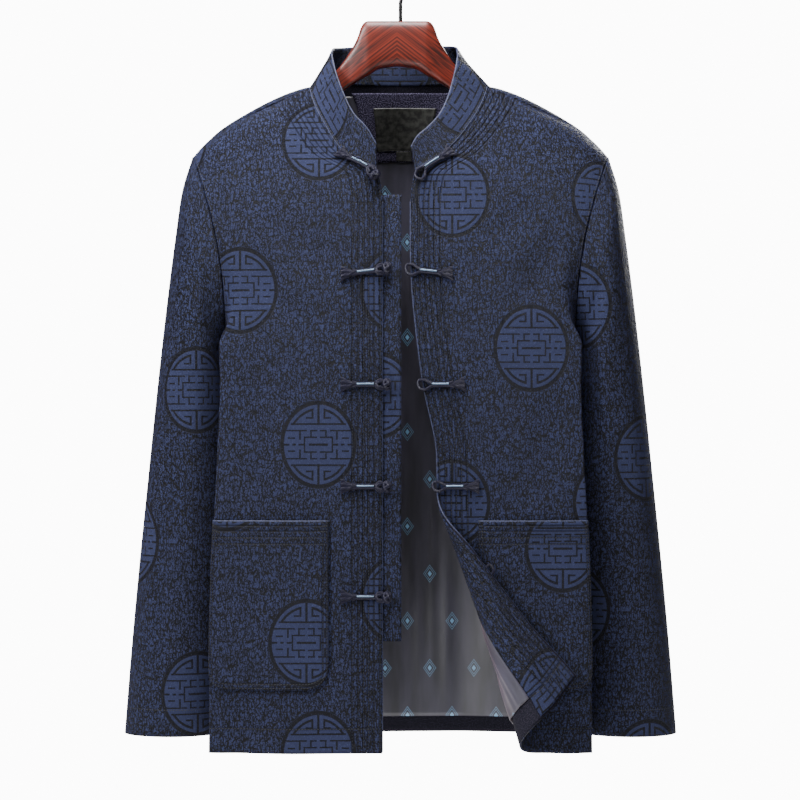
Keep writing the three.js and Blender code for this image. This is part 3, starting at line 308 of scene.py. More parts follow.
HANGER_MIDDLE = -4
HANGER_SECTIONS = [
    (0, -70, -120, 13), (20, -70, -123, 13), (34, -70, -131, 13), (40, -74, -134, 13),
    (46, -90, -138, 13), (54, -104, -143, 13), (62, -116, -149, 12), (71, -127, -156, 11),
    (84, -142, -167, 10.5), (100, -151, -177, 10.5), (122, -157, -187, 10.5),
    (160, -173.4, -203, 12), (188, -187.6, -216, 11), (202, -198, -217, 6),
]
# The flat middle facet ends in a crease, past which the faces fall back: x and how far.
HANGER_FACET = ((0, 33, 56, 100, 160), (0, 0, 5.8, 4.6, 1.5))
HOOK = {"wire": 4.4, "radius": 17, "bend": -50, "foot": -69.7, "from": -50, "to": 195}

# The stage, in metres and watts.
CAMERA = {"place": (0, -2.360, -0.497), "focal_px": 2091, "frame_px": 800, "middle_px": 400.5}
WORLD = {"light": 0.14, "seen": 12}
FLOOR = {"height": -1.35, "radius": 1.9}
LIGHTS = table(
    "name place aim size power",
    ("key", (-1.8, -1.45, 0.9), (-0.1, 0, -0.4), 0.8, 74),
    ("top", (-0.15, -0.45, 1.0), (0, 0, -0.2), 0.8, 56),
    ("fill", (1.9, -2.0, 0.0), (0, 0, -0.5), 1.6, 2),
    ("low", (-0.55, -1.5, -1.15), (0.0, 0, -0.75), 0.5, 5),
    ("rear", (0.9, 2.0, 0.6), (0, 0, -0.5), 1.4, 75),
)


# ---- Settings a user would change ----------------------------------------------------------

class JacketSettings(bpy.types.PropertyGroup):
    cloth: bpy.props.FloatProperty(
        name="Cloth", description="Thickness of the jacquard", default=1.8 * MM,
        unit="LENGTH", precision=4)
    collar_cloth: bpy.props.FloatProperty(
        name="Collar", description="Thickness of the doubled collar", default=2.4 * MM,
        unit="LENGTH", precision=4)
    lining: bpy.props.FloatProperty(
        name="Lining", description="Thickness of the lining", default=1.0 * MM,
        unit="LENGTH", precision=4)
    grid: bpy.props.FloatProperty(
        name="Grid", description="Spacing of the cloth's mesh", default=4.5 * MM,
        unit="LENGTH", precision=4)
    medallion: bpy.props.FloatVectorProperty(
        name="Medallion", description="Width and height of a medallion", size=2,
        default=(84 * MM, 97 * MM), unit="LENGTH", precision=4)
    repeat: bpy.props.FloatVectorProperty(
        name="Repeat", description="Column spacing and vertical repeat of the medallions", size=2,
        default=(87 * MM, 340 * MM), unit="LENGTH", precision=4)
    blue: bpy.props.FloatVectorProperty(
        name="Blue", description="Ground yarn", size=3, default=(0.025, 0.031, 0.078),
        subtype="COLOR")
    black: bpy.props.FloatVectorProperty(
        name="Black", description="Dark pattern yarn", size=3, default=(0.0016, 0.0015, 0.0026),
        subtype="COLOR")
    satin: bpy.props.FloatVectorProperty(
        name="Satin", description="Lining", size=3, default=(0.04, 0.04, 0.056), subtype="COLOR")
    lacquer: bpy.props.FloatVectorProperty(
        name="Lacquer", description="Wood of the hanger", size=3, default=(0.15, 0.014, 0.005),
        subtype="COLOR")


def settings():
    return bpy.context.scene.jacket


# ---- Curves --------------------------------------------------------------------------------

def smooth(knots, values, at):
    """A curve through values at knots that never overshoots them, read at many places."""
    knots, values, at = (np.asarray(each, float) for each in (knots, values, at))
    column = (-1,) + (1,) * (values.ndim - 1)
    spans = np.diff(knots)
    secants = np.diff(values, axis=0) / spans.reshape(column)
    before, after = secants[:-1], secants[1:]
    same_way = before * after > 0
    inner = np.where(same_way, 2 * before * after / np.where(same_way, before + after, 1), 0)
    slopes = np.concatenate([secants[:1], inner, secants[-1:]])
    cell = np.searchsorted(knots[1:-1], at, side="left")
    span = spans[cell].reshape(column)
    u = ((at - knots[cell]) / spans[cell]).reshape(column)
    low, high, start, end = values[cell], values[cell + 1], slopes[cell], slopes[cell + 1]
    return ((1 + 2 * u) * (1 - u) ** 2 * low + u * (1 - u) ** 2 * span * start
            + u * u * (3 - 2 * u) * high + u * u * (u - 1) * span * end)


def path_lengths(points):
    """Length along a path from its start to each of its points."""
    steps = np.linalg.norm(np.diff(np.asarray(points, float), axis=0), axis=1)
    return np.concatenate([[0], np.cumsum(steps)])


def chord_knots(points):
    sums = path_lengths(points)
    return sums / sums[-1]


def read_along(at, sums, values):
    """Rows of three values, read at lengths along a path."""
    return np.stack([np.interp(at, sums, values[:, k]) for k in range(3)], axis=-1)


def resampled(points, count):
    """A smooth path of evenly spaced points through the given ones."""
    points = np.asarray(points, float)
    knots = chord_knots(points)
    keep = np.concatenate([[True], np.diff(knots) > 1e-6])
    return smooth(knots[keep], points[keep], np.linspace(0, 1, count))


def unit(vectors):
    return vectors / np.maximum(np.linalg.norm(vectors, axis=-1, keepdims=True), 1e-9)


def armhole(degrees):
    """Points of the armhole, x outwards, by angle from its top round the front."""
    angle = np.radians(degrees)
    drop = (1 - np.cos(angle)) / 2
    hollow = np.where(np.sin(angle) > 0, ARMHOLE["hollow_front"], ARMHOLE["hollow_back"])
    return np.stack([
        ARMHOLE["tip_x"] + (ARMHOLE["bottom_x"] - ARMHOLE["tip_x"]) * drop - hollow * np.sin(angle) ** 2,
        -ARMHOLE["half_depth"] * np.sin(angle),
        ARMHOLE["top_z"] + (UNDERARM_Z - ARMHOLE["top_z"]) * drop,
    ], axis=-1)


def fold_depth(folds, x, z):
    """How deep a table of folds sinks a panel at x, z."""
    total = np.zeros_like(x)
    for fold in folds:
        run = np.subtract(fold["to"], fold["from"])
        length = math.hypot(*run)
        dx, dz = x - fold["from"][0], z - fold["from"][1]
        along = np.clip((dx * run[0] + dz * run[1]) / length ** 2, 0, 1)
        away = (dx * run[1] - dz * run[0]) / length
        total += fold["depth"] * np.sin(math.pi * along) * np.exp(-(away / fold["width"]) ** 2)
    return total


# ---- Surfaces of the body ------------------------------------------------------------------

FRONT_KNOTS = chord_knots([row["chest"] for row in FRONT_SECTIONS])
BACK_KNOTS = chord_knots([row["blade"] for row in BACK_SECTIONS])


def column(sections, name):
    """One column of a table of sections; an angle stands for a point of the armhole."""
    cells = [row[name] for row in sections]
    return [cell if isinstance(cell, tuple) else tuple(armhole(cell)) for cell in cells]


def front_flat(side, s, t):
    """Grid of a front before its corner is rolled, rows along t and columns along s."""
    columns = [FRONT_EDGE[side]] + [column(FRONT_SECTIONS, name) for name in FRONT_SECTIONS[0]]
    across = np.stack([smooth(FRONT_KNOTS, line, t) for line in columns])
    grid = smooth(FRONT_COLUMNS, across, s).transpose(1, 0, 2)
    fade = np.minimum(1, (1 - np.asarray(s)) / FOLD_FADE)
    grid[..., 1] += fold_depth(FRONT_FOLDS[side], grid[..., 0], grid[..., 2]) * fade
    grid[..., 0] *= side
    return grid


def rolled(points):
    """Points of the left front after its corner is rolled over."""
    slant, turn = math.radians(ROLL["slant"]), math.radians(ROLL["turn"])
    dx, dz = points[..., 0] - ROLL["top_x"], points[..., 2] - ROLL["top_z"]
    along = dx * math.sin(slant) - dz * math.cos(slant)
    beyond = -(dx * math.cos(slant) + dz * math.sin(slant))
    reach = np.maximum(along, 0)
    radius = ROLL["start_radius"] + ROLL["growth"] * reach + ROLL["spread"] * reach ** 2
    angle = np.clip(beyond / radius, 0, turn)
    past = np.maximum(beyond - radius * angle, 0)
    across = -radius * np.sin(angle) - past * math.cos(turn)
    out = radius * (1 - np.cos(angle)) + past * math.sin(turn)
    kept = along * (1 - ROLL["shorten"] * np.sin(angle / 2) ** 2)
    turned = np.stack([
        ROLL["top_x"] + kept * math.sin(slant) + across * math.cos(slant),
        points[..., 1] - out,
        ROLL["top_z"] - kept * math.cos(slant) + across * math.sin(slant),
    ], axis=-1)
    return np.where((beyond <= 0)[..., None], points, turned)


def back_flat(s, t):
    """Grid of the back, s from right side seam to left."""
    columns = [column(BACK_SECTIONS, name) for name in BACK_SECTIONS[0]]
    across = np.stack([smooth(BACK_KNOTS, line, t) for line in columns])
    mirrored = np.concatenate([across, across[-2::-1] * (-1, 1, 1)])
    knots = BACK_COLUMNS + [1 - k for k in BACK_COLUMNS[-2::-1]]
    s = np.asarray(s)
    half = np.minimum(s, 1 - s)
    grid = smooth(knots, mirrored, half).transpose(1, 0, 2)
    grid[..., 0] *= np.where(s <= 0.5, -1, 1)
    fade = np.minimum(1, half / FOLD_FADE)
    grid[..., 1] -= fold_depth(BACK_FOLDS, grid[..., 0], grid[..., 2]) * fade
    return grid


def grid_normals(points, towards):
    """Normals of a grid of points, on the side that a rough direction gives."""
    normals = unit(np.cross(np.gradient(points, axis=1), np.gradient(points, axis=0)))
    return normals * (1 if (normals * towards).sum(-1).mean() > 0 else -1)


def grain(points, normals, right):
    """Flat coordinates of a cloth grid, across and along its grain; near x and z in its middle."""
    right = np.array(right, float)
    across = right - (normals @ right)[..., None] * normals
    sideways = np.cross(np.array([0, 0, 1.0]), normals)
    share = normals[..., :1] ** 4
    across = unit(across * (1 - share) + sideways * share)
    upwards = np.cross(normals, across)
    rows, columns = points.shape[:2]
    middle, start = int(columns * 0.42), int(rows * 0.4)

    def runs(axis):
        steps = np.diff(points, axis=axis)
        ahead, behind = ((slice(None),) * axis + (cut,) for cut in (slice(1, None), slice(None, -1)))
        flat = np.stack([(steps * (way[ahead] + way[behind]) / 2).sum(-1)
                         for way in (across, upwards)], axis=-1)
        zero = np.zeros_like(flat[:1] if axis == 0 else flat[:, :1])
        return np.concatenate([zero, np.cumsum(flat, axis=axis)], axis=axis)

    down, side = runs(0)[:, middle], runs(1)
    flat = down[:, None] + side - side[:, middle][:, None]
    place = points[start, middle]
    return flat - flat[start, middle] + (place @ right, place[2])


class Panel:
    """A grid of cloth that other pieces lie on: points, normals and grain at any s and t."""

    def __init__(self, s, t, points, normals, flat, still):
        self.s, self.t = np.asarray(s), np.asarray(t)
        self.points, self.normals, self.grain, self.still = points, normals, flat, still

    def mix(self, grid, s, t):
        j = np.clip(np.searchsorted(self.s, s) - 1, 0, len(self.s) - 2)
        i = np.clip(np.searchsorted(self.t, t) - 1, 0, len(self.t) - 2)
        u = ((s - self.s[j]) / (self.s[j + 1] - self.s[j]))[..., None]
        v = ((t - self.t[i]) / (self.t[i + 1] - self.t[i]))[..., None]
        low = grid[i, j] * (1 - u) + grid[i, j + 1] * u
        high = grid[i + 1, j] * (1 - u) + grid[i + 1, j + 1] * u
        return low * (1 - v) + high * v

    def at(self, s, t, lift=0.0):
        """Points that stand lift off the panel, and their grain coordinates."""
        s, t = np.broadcast_arrays(np.asarray(s, float), np.asarray(t, float))
        normals = unit(self.mix(self.normals, s, t))
        points = self.mix(self.points, s, t) + normals * np.asarray(lift)[..., None]
        return points, normals, self.mix(self.grain, s, t)

    def t_at(self, z, s=0.3):
        """The t at which the unrolled panel reaches a height."""
        column = self.mix(self.still, np.full(len(self.t), s), self.t)[:, 2]
        return np.interp(z, column, self.t)

    def s_at(self, x, t):
        """The s at which the unrolled panel is x outwards, for arrays of x and t."""
        found = []
        for place, height in zip(np.ravel(x), np.ravel(t)):
            row = np.abs(self.mix(self.still, self.s, np.full(len(self.s), height))[:, 0])
            last = int(np.argmax(row))
            found.append(np.interp(place, row[:last], self.s[:last]))
        return np.reshape(found, np.shape(x))

    def back_s_at(self, x, t):
        row = self.mix(self.still, self.s, np.full(len(self.s), t))[:, 0]
        return np.interp(x, row, self.s)


def lines(length, spacing):
    return np.linspace(0, 1, max(2, round(length / spacing) + 1))


def trim_back(points, side_columns, split):
    """Pulls a panel's borders back from the seams by half the seam gap."""
    half = SEAM_GAP / 2
    for place, way in side_columns:
        points[:split, place, 1] += half * way[1]
        points[split:, place, 0] += half * way[0]


def make_panels():
    step = settings().grid / MM
    t = lines(FRONT_SIZE[1], step)
    made = {}
    for side in (RIGHT, LEFT):
        s = lines(FRONT_SIZE[0], step)
        if side == LEFT:
            share, wide = ROLLED_GRID["share"], ROLLED_GRID["wide"]
            fine, coarse = lines(wide, ROLLED_GRID["spacing"]), lines(FRONT_SIZE[0] - wide, step)
            s = np.concatenate([fine * share, share + coarse[1:] * (1 - share)])
        flat = front_flat(side, s, t)
        split = int(np.searchsorted(t, FRONT_KNOTS[UNDERARM_ROW]))
        trim_back(flat, [(-1, (-side, -1))], split)
        flat[-1, :, 1] -= SEAM_GAP / 2
        still_normals = grid_normals(flat, (0, -1, 0))
        coords = grain(flat, still_normals, (1, 0, 0))
        points = rolled(flat) if side == LEFT else flat
        turned = grid_normals(points, (0, 0, 0)) * (1 if side == LEFT else -1)
        normals = turned if side == LEFT else still_normals
        if (normals[:, -10:] * still_normals[:, -10:]).sum() < 0:
            normals = -normals
        made[side] = Panel(s, t, points, normals, coords, flat)
    s, t = (lines(size, step) for size in BACK_SIZE)
    flat = back_flat(s, t)
    split = int(np.searchsorted(t, BACK_KNOTS[UNDERARM_ROW]))
    trim_back(flat, [(0, (1, 1)), (-1, (-1, 1))], split)
    flat[-1, :, 1] += SEAM_GAP / 2
    normals = grid_normals(flat, (0, 1, 0))
    made["back"] = Panel(s, t, flat, normals, grain(flat, normals, (-1, 0, 0)), flat)
    return made


PANELS = {}


def panels():
    if not PANELS:
        PANELS.update(make_panels())
    return PANELS


# ---- Meshes --------------------------------------------------------------------------------

def sheet_bmesh(points, coords, around=False, trim=None):
    """A grid of quads moved to the given points; around closes its first column to its last."""
    rows, columns = points.shape[:2]
    bm = bmesh.new()
    layer = bm.loops.layers.uv.new("grain")
    trim_layer = bm.loops.layers.uv.new("trim")
    trim = np.full((rows, columns, 2), float(TRIM_NONE)) if trim is None else trim
    bmesh.ops.create_grid(bm, x_segments=columns - 1, y_segments=rows - 1, size=0.5)
    places = {}
    for vert in bm.verts:
        i, j = round((vert.co.y + 0.5) * (rows - 1)), round((vert.co.x + 0.5) * (columns - 1))
        places[vert] = (i, j)
        vert.co = points[i, j] * MM
    for face in bm.faces:
        face.smooth = True
        for loop in face.loops:
            loop[layer].uv = coords[places[loop.vert]] * 0.01
            loop[trim_layer].uv = trim[places[loop.vert]] * 0.01
    if around:
        bmesh.ops.remove_doubles(bm, verts=bm.verts, dist=1e-6)
    return bm


def mesh_of(name, bm):
    """Turns a finished bmesh into a mesh."""
    mesh = bpy.data.meshes.new(name)
    bm.to_mesh(mesh)
    bm.free()
    return mesh


def link(name, data):
    made = bpy.data.objects.new(name, data)
    bpy.context.scene.collection.objects.link(made)
    return made


def add_object(name, bm, material, replaces=(), thickness=None, inside=None):
    """Puts a finished bmesh in the scene, riding with the frame."""
    mesh = mesh_of(name, bm)
    mesh.materials.append(MATERIALS[material])
    piece = link(name, mesh)
    if thickness:
        wall = piece.modifiers.new("Thickness", "SOLIDIFY")
        wall.thickness = thickness
        wall.offset = -1
        wall.use_even_offset = True
        if inside:
            mesh.materials.append(MATERIALS[inside])
            wall.material_offset = 1
    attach(piece, "root")
    for node in replaces:
        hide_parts(node)
    return piece


def orient(bm, points, normals):
    """Turns a sheet's faces to the side of the grid's own normals."""
    bm.normal_update()
    bm.faces.ensure_lookup_table()
    face = bm.faces[len(bm.faces) // 2]
    middle = np.array(face.calc_center_median()) / MM
    flat = points.reshape(-1, 3)
    nearest = normals.reshape(-1, 3)[((flat - middle) ** 2).sum(1).argmin()]
    if face.normal.dot(Vector(nearest)) < 0:
        bmesh.ops.reverse_faces(bm, faces=bm.faces)
    return bm


def flat_area(coords):
    """Area in square metres of a cloth's cut, from its grain coordinates."""
    a, b = coords[1:, 1:] - coords[:-1, :-1], coords[1:, :-1] - coords[:-1, 1:]
    return float(np.abs(a[..., 0] * b[..., 1] - a[..., 1] * b[..., 0]).sum() / 2) * MM * MM


def declare(coords):
    wide, long = (np.ptp(coords.reshape(-1, 2), axis=0) * MM).tolist()
    area = min(flat_area(coords), wide * long)


def add_sheet(name, points, normals, coords, material="jacquard",
              thickness=None, trim=None, inside=None):
    """One sheet of cloth from its outer grid, with its pattern started at its own place."""
    bm = sheet_bmesh(points, coords - np.array(PATTERN_AT.get(name, (0, 0))), trim=trim)
    orient(bm, points, normals)
    piece = add_object(name + "_cloth", bm, material, [name], thickness or settings().cloth, inside)
    declare(coords)


def run_along(points, axis):
    """Length along a grid's lines from their first point."""
    steps = np.linalg.norm(np.diff(points, axis=axis), axis=-1)
    return np.concatenate([np.zeros_like(np.take(steps, [0], axis)), np.cumsum(steps, axis=axis)], axis=axis)


def edge_trim(flat, start=0.0):
    """Trim coordinates of a front or a facing: from its front edge, and up from its hem."""
    hem = np.min(flat[..., 2])
    return np.stack([run_along(flat, 1) + start, flat[..., 2] - hem + TRIM_HEM], axis=-1)


def tube_rings(path, across, out, high, thick, sides):
    """Rings round a path: across and out are unit directions, high and thick the half sizes."""
    angles = np.linspace(0, 2 * math.pi, sides + 1)
    high, thick = np.broadcast_to(high, len(path)), np.broadcast_to(thick, len(path))
    return (path[:, None] + across[:, None] * (high[:, None] * np.cos(angles))[..., None]
            + out[:, None] * (thick[:, None] * np.sin(angles))[..., None])


def swept_rings(path, radius, closed=False):
    """Rings of a round cord that follows a path, with frames carried along it."""
    path = np.asarray(path, float)
    ahead = np.roll(path, -1, 0) - np.roll(path, 1, 0) if closed else np.gradient(path, axis=0)
    ahead = unit(ahead)
    seed = np.array([0.3, 0.9, 0.2])
    first = unit(np.cross(ahead[0], seed))
    across = [first]
    for way in ahead[1:]:
        across.append(unit(across[-1] - (across[-1] @ way) * way))
    across = np.array(across)
    return tube_rings(path, across, np.cross(ahead, across), radius, radius, CORD_SIDES)


def add_tube(bm, rings, closed=False):
    """Adds a closed tube through rings to a bmesh; its ends run to points unless it is a loop."""
    if closed:
        rings = np.concatenate([rings, rings[:1]])
    else:
        start, end = (np.broadcast_to(ring.mean(0), ring.shape)[None] for ring in (rings[0], rings[-1]))
        rings = np.concatenate([start, rings, end])
    length = path_lengths(rings.mean(1))
    round_it = np.linspace(0, 8, rings.shape[1])
    coords = np.stack(np.broadcast_arrays(round_it[None, :], length[:, None]), axis=-1)
    part = sheet_bmesh(rings, coords, around=True)
    bmesh.ops.recalc_face_normals(part, faces=part.faces)
    mesh = mesh_of("part", part)
    bm.from_mesh(mesh)
    bpy.data.meshes.remove(mesh)


def add_smooth(name, bm, material, replaces=()):
    """Adds a piece whose faces are all shaded smooth."""
    for face in bm.faces:
        face.smooth = True
    add_object(name, bm, material, replaces)


def add_rod(name, rings, material, replaces=()):
    """Adds a piece made of a single tube."""
    bm = bmesh.new()
    add_tube(bm, rings)
    add_smooth(name, bm, material, replaces)


# ---- Shader helpers ------------------------------------------------------------------------

def plug(tree, made, inputs):
    """Links sockets to a node's inputs or gives them values, by name or number."""
    for name, value in inputs.items():
        socket = made.inputs[name]
        if isinstance(value, bpy.types.NodeSocket):
            tree.links.new(value, socket)
        else:
            socket.default_value = value


def node(tree, kind, inputs=None, **options):
    """Adds a shader node with its options set and its inputs plugged."""
    made = tree.nodes.new(kind)
    for name, value in options.items():
        setattr(made, name, value)
    plug(tree, made, inputs or {})
    return made


def calc(tree, operation, *values):
    return node(tree, "ShaderNodeMath", dict(enumerate(values)), operation=operation).outputs[0]


def times(tree, first, second):
    return calc(tree, "MULTIPLY", first, second)


def plus(tree, first, second):
    return calc(tree, "ADD", first, second)


def minus(tree, first, second):
    return calc(tree, "SUBTRACT", first, second)


def most(tree, first, second):
    return calc(tree, "MAXIMUM", first, second)


def step_up(tree, value, start, end):
    """0 below start, 1 above end, smooth between."""
    made = node(tree, "ShaderNodeMapRange", {"Value": value, "From Min": start, "From Max": end},
                interpolation_type="SMOOTHSTEP")
    return made.outputs["Result"]


def vector_calc(tree, operation, *values):
    return node(tree, "ShaderNodeVectorMath", dict(enumerate(values)), operation=operation).outputs[0]


def parted(tree, vector):
    """A vector's X, Y and Z."""
    return node(tree, "ShaderNodeSeparateXYZ", {"Vector": vector}).outputs


def noise(tree, place, scale, detail):
    return node(tree, "ShaderNodeTexNoise", {"Vector": place, "Scale": scale, "Detail": detail}).outputs


def drawn_noise(tree, place, frequency, detail):
    """Noise drawn out by its own frequency each way."""
    return noise(tree, vector_calc(tree, "MULTIPLY", place, frequency), 1.0, detail)["Fac"]


def shaken(tree, place, scale, detail, reach):
    """A place in the cloth, moved about by noise."""
    shift = vector_calc(tree, "SUBTRACT", noise(tree, place, scale, detail)["Color"], (0.5, 0.5, 0.5))
    return vector_calc(tree, "ADD", place, vector_calc(tree, "MULTIPLY", shift, (reach, reach, 0)))


def mixed(tree, share, low, high):
    """A mix of two colours, each a socket or three numbers."""
    low, high = (each if isinstance(each, bpy.types.NodeSocket) else (*each, 1) for each in (low, high))
    return node(tree, "ShaderNodeMix", {"Factor": share, 6: low, 7: high}, data_type="RGBA").outputs[2]


def bumped(tree, height, distance, strength):
    made = node(tree, "ShaderNodeBump", {"Height": height, "Distance": distance, "Strength": strength})
    return made.outputs["Normal"]


def group(name, inputs, outputs):
    """A new shader node group with its named sockets, and its two end nodes."""
    tree = bpy.data.node_groups.new(name, "ShaderNodeTree")
    for label, kind, default in inputs:
        socket = tree.interface.new_socket(label, in_out="INPUT", socket_type="NodeSocket" + kind)
        if default is not None:
            socket.default_value = default
    for label in outputs:
        tree.interface.new_socket(label, in_out="OUTPUT", socket_type="NodeSocketFloat")
    return tree, tree.nodes.new("NodeGroupInput"), tree.nodes.new("NodeGroupOutput")


def use_group(tree, name, inputs):
    return node(tree, "ShaderNodeGroup", inputs, node_tree=EFFECTS[name]).outputs


def new_material(name):
    material = bpy.data.materials.new(name)
    material.use_nodes = True
    return material, material.node_tree, material.node_tree.nodes["Principled BSDF"]


def layer_mm(tree, layer):
    """The cloth coordinates in one of a piece's layers, in millimetres."""
    uv = node(tree, "ShaderNodeUVMap", uv_map=layer).outputs["UV"]
    return vector_calc(tree, "MULTIPLY", uv, (100, 100, 0))


def grain_mm(tree):
    return layer_mm(tree, "grain")


def object_place(tree):
    return node(tree, "ShaderNodeTexCoord").outputs["Object"]


# ---- Shared effects ------------------------------------------------------------------------

EFFECTS, MATERIALS = {}, {}
PLACE = ("Vector", "Vector", None)


def bark_weave():
    """Short dark yarn dashes, mostly upright, over a ribbed ground."""
    tree, start, end = group("Bark weave", [PLACE], ["Dark", "Light", "Height"])
    place = start.outputs["Vector"]
    loose = shaken(tree, place, 0.3, 2.0, 1.6)
    dark = 0.0
    for row in WEAVE_DASHES:
        scaled = vector_calc(tree, "DIVIDE", loose, (*row["cell"], 1))
        cells = node(tree, "ShaderNodeTexVoronoi", {"Vector": scaled, "Scale": 1.0, "Randomness": 1.0},
                     feature="DISTANCE_TO_EDGE", voronoi_dimensions="2D")
        dashes = step_up(tree, cells.outputs["Distance"], row["line"], row["line"] * 0.4)
        gaps = noise(tree, scaled, row["gap_scale"], 1.0)["Fac"]
        kept = step_up(tree, gaps, row["gap_at"], row["gap_at"] + 0.05)
        dark = most(tree, dark, times(tree, dashes, kept))
    grit = drawn_noise(tree, place, (1.0, 0.6, 1), 1.0)
    dark = most(tree, dark, step_up(tree, grit, 0.6, 0.66))
    ribs, picks = (calc(tree, "SINE", times(tree, parted(tree, loose)[axis], 2 * math.pi / pitch))
                   for axis, pitch in (("X", RIB_PITCH), ("Y", PICK_PITCH)))
    height = plus(tree, times(tree, dark, -1.0), times(tree, plus(tree, ribs, picks), 0.12))
    # Light marks pale specks that stand in for glints on the yarn: painted highlights.
    plug(tree, end, {"Dark": dark, "Light": step_up(tree, grit, 0.4, 0.3), "Height": height})
    return tree


def stitch_grooves():
    """How far the cloth sinks along its rows of stitching, read from the trim layer."""
    tree, start, end = group("Stitch grooves", [PLACE], ["Sunk"])
    across = parted(tree, start.outputs["Vector"])
    rows = [("X", row) for row in PLACKET_ROWS]
    rows += [("X", row + TRIM_POCKET) for row in POCKET_BORDER_ROWS]
    rows += [("Y", row + TRIM_POCKET) for row in POCKET_TOP_ROWS] + [("Y", HEM_ROW + TRIM_HEM)]
    sunk = 0.0
    for axis, row in rows:
        away = calc(tree, "ABSOLUTE", minus(tree, across[axis], row))
        sunk = most(tree, sunk, step_up(tree, away, 1.7, 0.2))
    plug(tree, end, {"Sunk": sunk})
    return tree


def half_drop(tree, place, columns, repeat):
    """Distances from the nearest motif, where every other column drops half a repeat."""
    across = parted(tree, place)
    column = calc(tree, "ROUND", calc(tree, "DIVIDE", across["X"], columns))
    drop = times(tree, calc(tree, "PINGPONG", column, 1.0), 0.5)
    row = minus(tree, calc(tree, "DIVIDE", across["Y"], repeat), drop)
    return (minus(tree, across["X"], times(tree, column, columns)),
            times(tree, minus(tree, row, calc(tree, "ROUND", row)), repeat))


def fret_medallions():
    """Round fret medallions in a half-drop repeat."""
    tree, start, end = group(
        "Fret medallions",
        [PLACE, ("Columns", "Float", 87), ("Repeat", "Float", 340),
         ("Half Width", "Float", 42), ("Half Height", "Float", 48.5)],
        ["Inside", "Dark"])
    place = shaken(tree, start.outputs["Vector"], 0.9, 1.0, 0.9)
    apart = half_drop(tree, place, start.outputs["Columns"], start.outputs["Repeat"])
    x, y = (calc(tree, "ABSOLUTE", calc(tree, "DIVIDE", far, start.outputs[half]))
            for far, half in zip(apart, ("Half Width", "Half Height")))
    radius = calc(tree, "SQRT", plus(tree, times(tree, x, x), times(tree, y, y)))
    inside = step_up(tree, radius, 1.01, 0.99)
    ring = times(tree, step_up(tree, radius, RING_DARK - 0.01, RING_DARK + 0.01), inside)
    core = calc(tree, "LESS_THAN", radius, RING_DARK)
    from_line = calc(tree, "ABSOLUTE", minus(tree, radius, CAP_LINE))
    cap_line = calc(tree, "LESS_THAN", from_line, CAP_LINE_WIDTH / 2)
    caps = times(tree, calc(tree, "GREATER_THAN", y, CAP_FROM), calc(tree, "GREATER_THAN", x, CAP_GAP))
    fret = times(tree, cap_line, caps)
    point = node(tree, "ShaderNodeCombineXYZ", {"X": x, "Y": y}).outputs[0]
    for bar in FRET_BARS:
        middle = (sum(bar["x"]) / 2, sum(bar["y"]) / 2, 0)
        half = ((bar["x"][1] - bar["x"][0]) / 2, (bar["y"][1] - bar["y"][0]) / 2, 0)
        away = vector_calc(tree, "ABSOLUTE", vector_calc(tree, "SUBTRACT", point, middle))
        over = parted(tree, vector_calc(tree, "SUBTRACT", away, half))
        within = calc(tree, "LESS_THAN", most(tree, over["X"], over["Y"]), 0.0)
        fret = most(tree, fret, times(tree, within, core))
    plug(tree, end, {"Inside": inside, "Dark": most(tree, ring, fret)})
    return tree


def lozenges():
    """Small nested lozenges in a half-drop repeat."""
    tree, start, end = group("Lozenges", [PLACE], ["Motif"])
    apart = half_drop(tree, start.outputs["Vector"], LOZENGE["columns"], LOZENGE["repeat"])
    size = plus(tree, *(calc(tree, "DIVIDE", calc(tree, "ABSOLUTE", far), LOZENGE[half])
                        for far, half in zip(apart, ("half_wide", "half_high"))))
    outer = times(tree, step_up(tree, size, 0.88, 0.91), step_up(tree, size, 1.03, 1.0))
    inner = times(tree, step_up(tree, size, 0.62, 0.65), step_up(tree, size, 0.74, 0.71))
    motif = most(tree, times(tree, outer, 0.5), times(tree, inner, 0.7))
    plug(tree, end, {"Motif": most(tree, motif, step_up(tree, size, 0.36, 0.3))})
    return tree


# ---- Materials -----------------------------------------------------------------------------

def jacquard_material(name, depth):
    """The blue and black pattern cloth; depth scales its blue."""
    material, tree, shader = new_material(name)
    sizes = settings()
    place = grain_mm(tree)
    bark = use_group(tree, "bark", {"Vector": place})
    medallion = use_group(tree, "fret", {
        "Vector": place, "Columns": sizes.repeat[0] / MM, "Repeat": sizes.repeat[1] / MM,
        "Half Width": sizes.medallion[0] / MM / 2, "Half Height": sizes.medallion[1] / MM / 2})
    grooves = use_group(tree, "grooves", {"Vector": layer_mm(tree, "trim")})["Sunk"]
    outside = minus(tree, 1.0, times(tree, medallion["Inside"], MEDALLION_COVER))
    # The medallions' dark lines fade under the pale specks, which are painted glints.
    painted_glint_fade = minus(tree, 0.97, times(tree, bark["Light"], 0.3))
    dark = most(tree, times(tree, bark["Dark"], outside), times(tree, medallion["Dark"], painted_glint_fade))
    dull, blue, bright = ([c * gain * depth for c in sizes.blue] for gain in (0.9, 1.3, 2.2))
    ground = mixed(tree, noise(tree, place, 0.02, 3.0)["Fac"], dull, blue)
    # Brighter blue at the pale specks is painted glint on the yarn.
    ground = mixed(tree, times(tree, bark["Light"], 0.6), ground, bright)
    colour = mixed(tree, dark, ground, sizes.black)
    height = plus(tree, bark["Height"], times(tree, medallion["Dark"], -0.7))
    height = minus(tree, height, times(tree, grooves, 1.8))
    plug(tree, shader, {
        # Along the stitch rows the colour darkens towards black: painted shade in the grooves, beside their
        # real bump.
        "Base Color": mixed(tree, times(tree, grooves, 0.6), colour, sizes.black),
        "Roughness": minus(tree, 0.75, times(tree, dark, 0.33)),
        "Normal": bumped(tree, height, 0.0008, 0.8),
        "Sheen Weight": 0.02, "Sheen Roughness": 0.45, "Sheen Tint": (0.6, 0.5, 0.72, 1),
        "Specular IOR Level": 0.16})
    return material


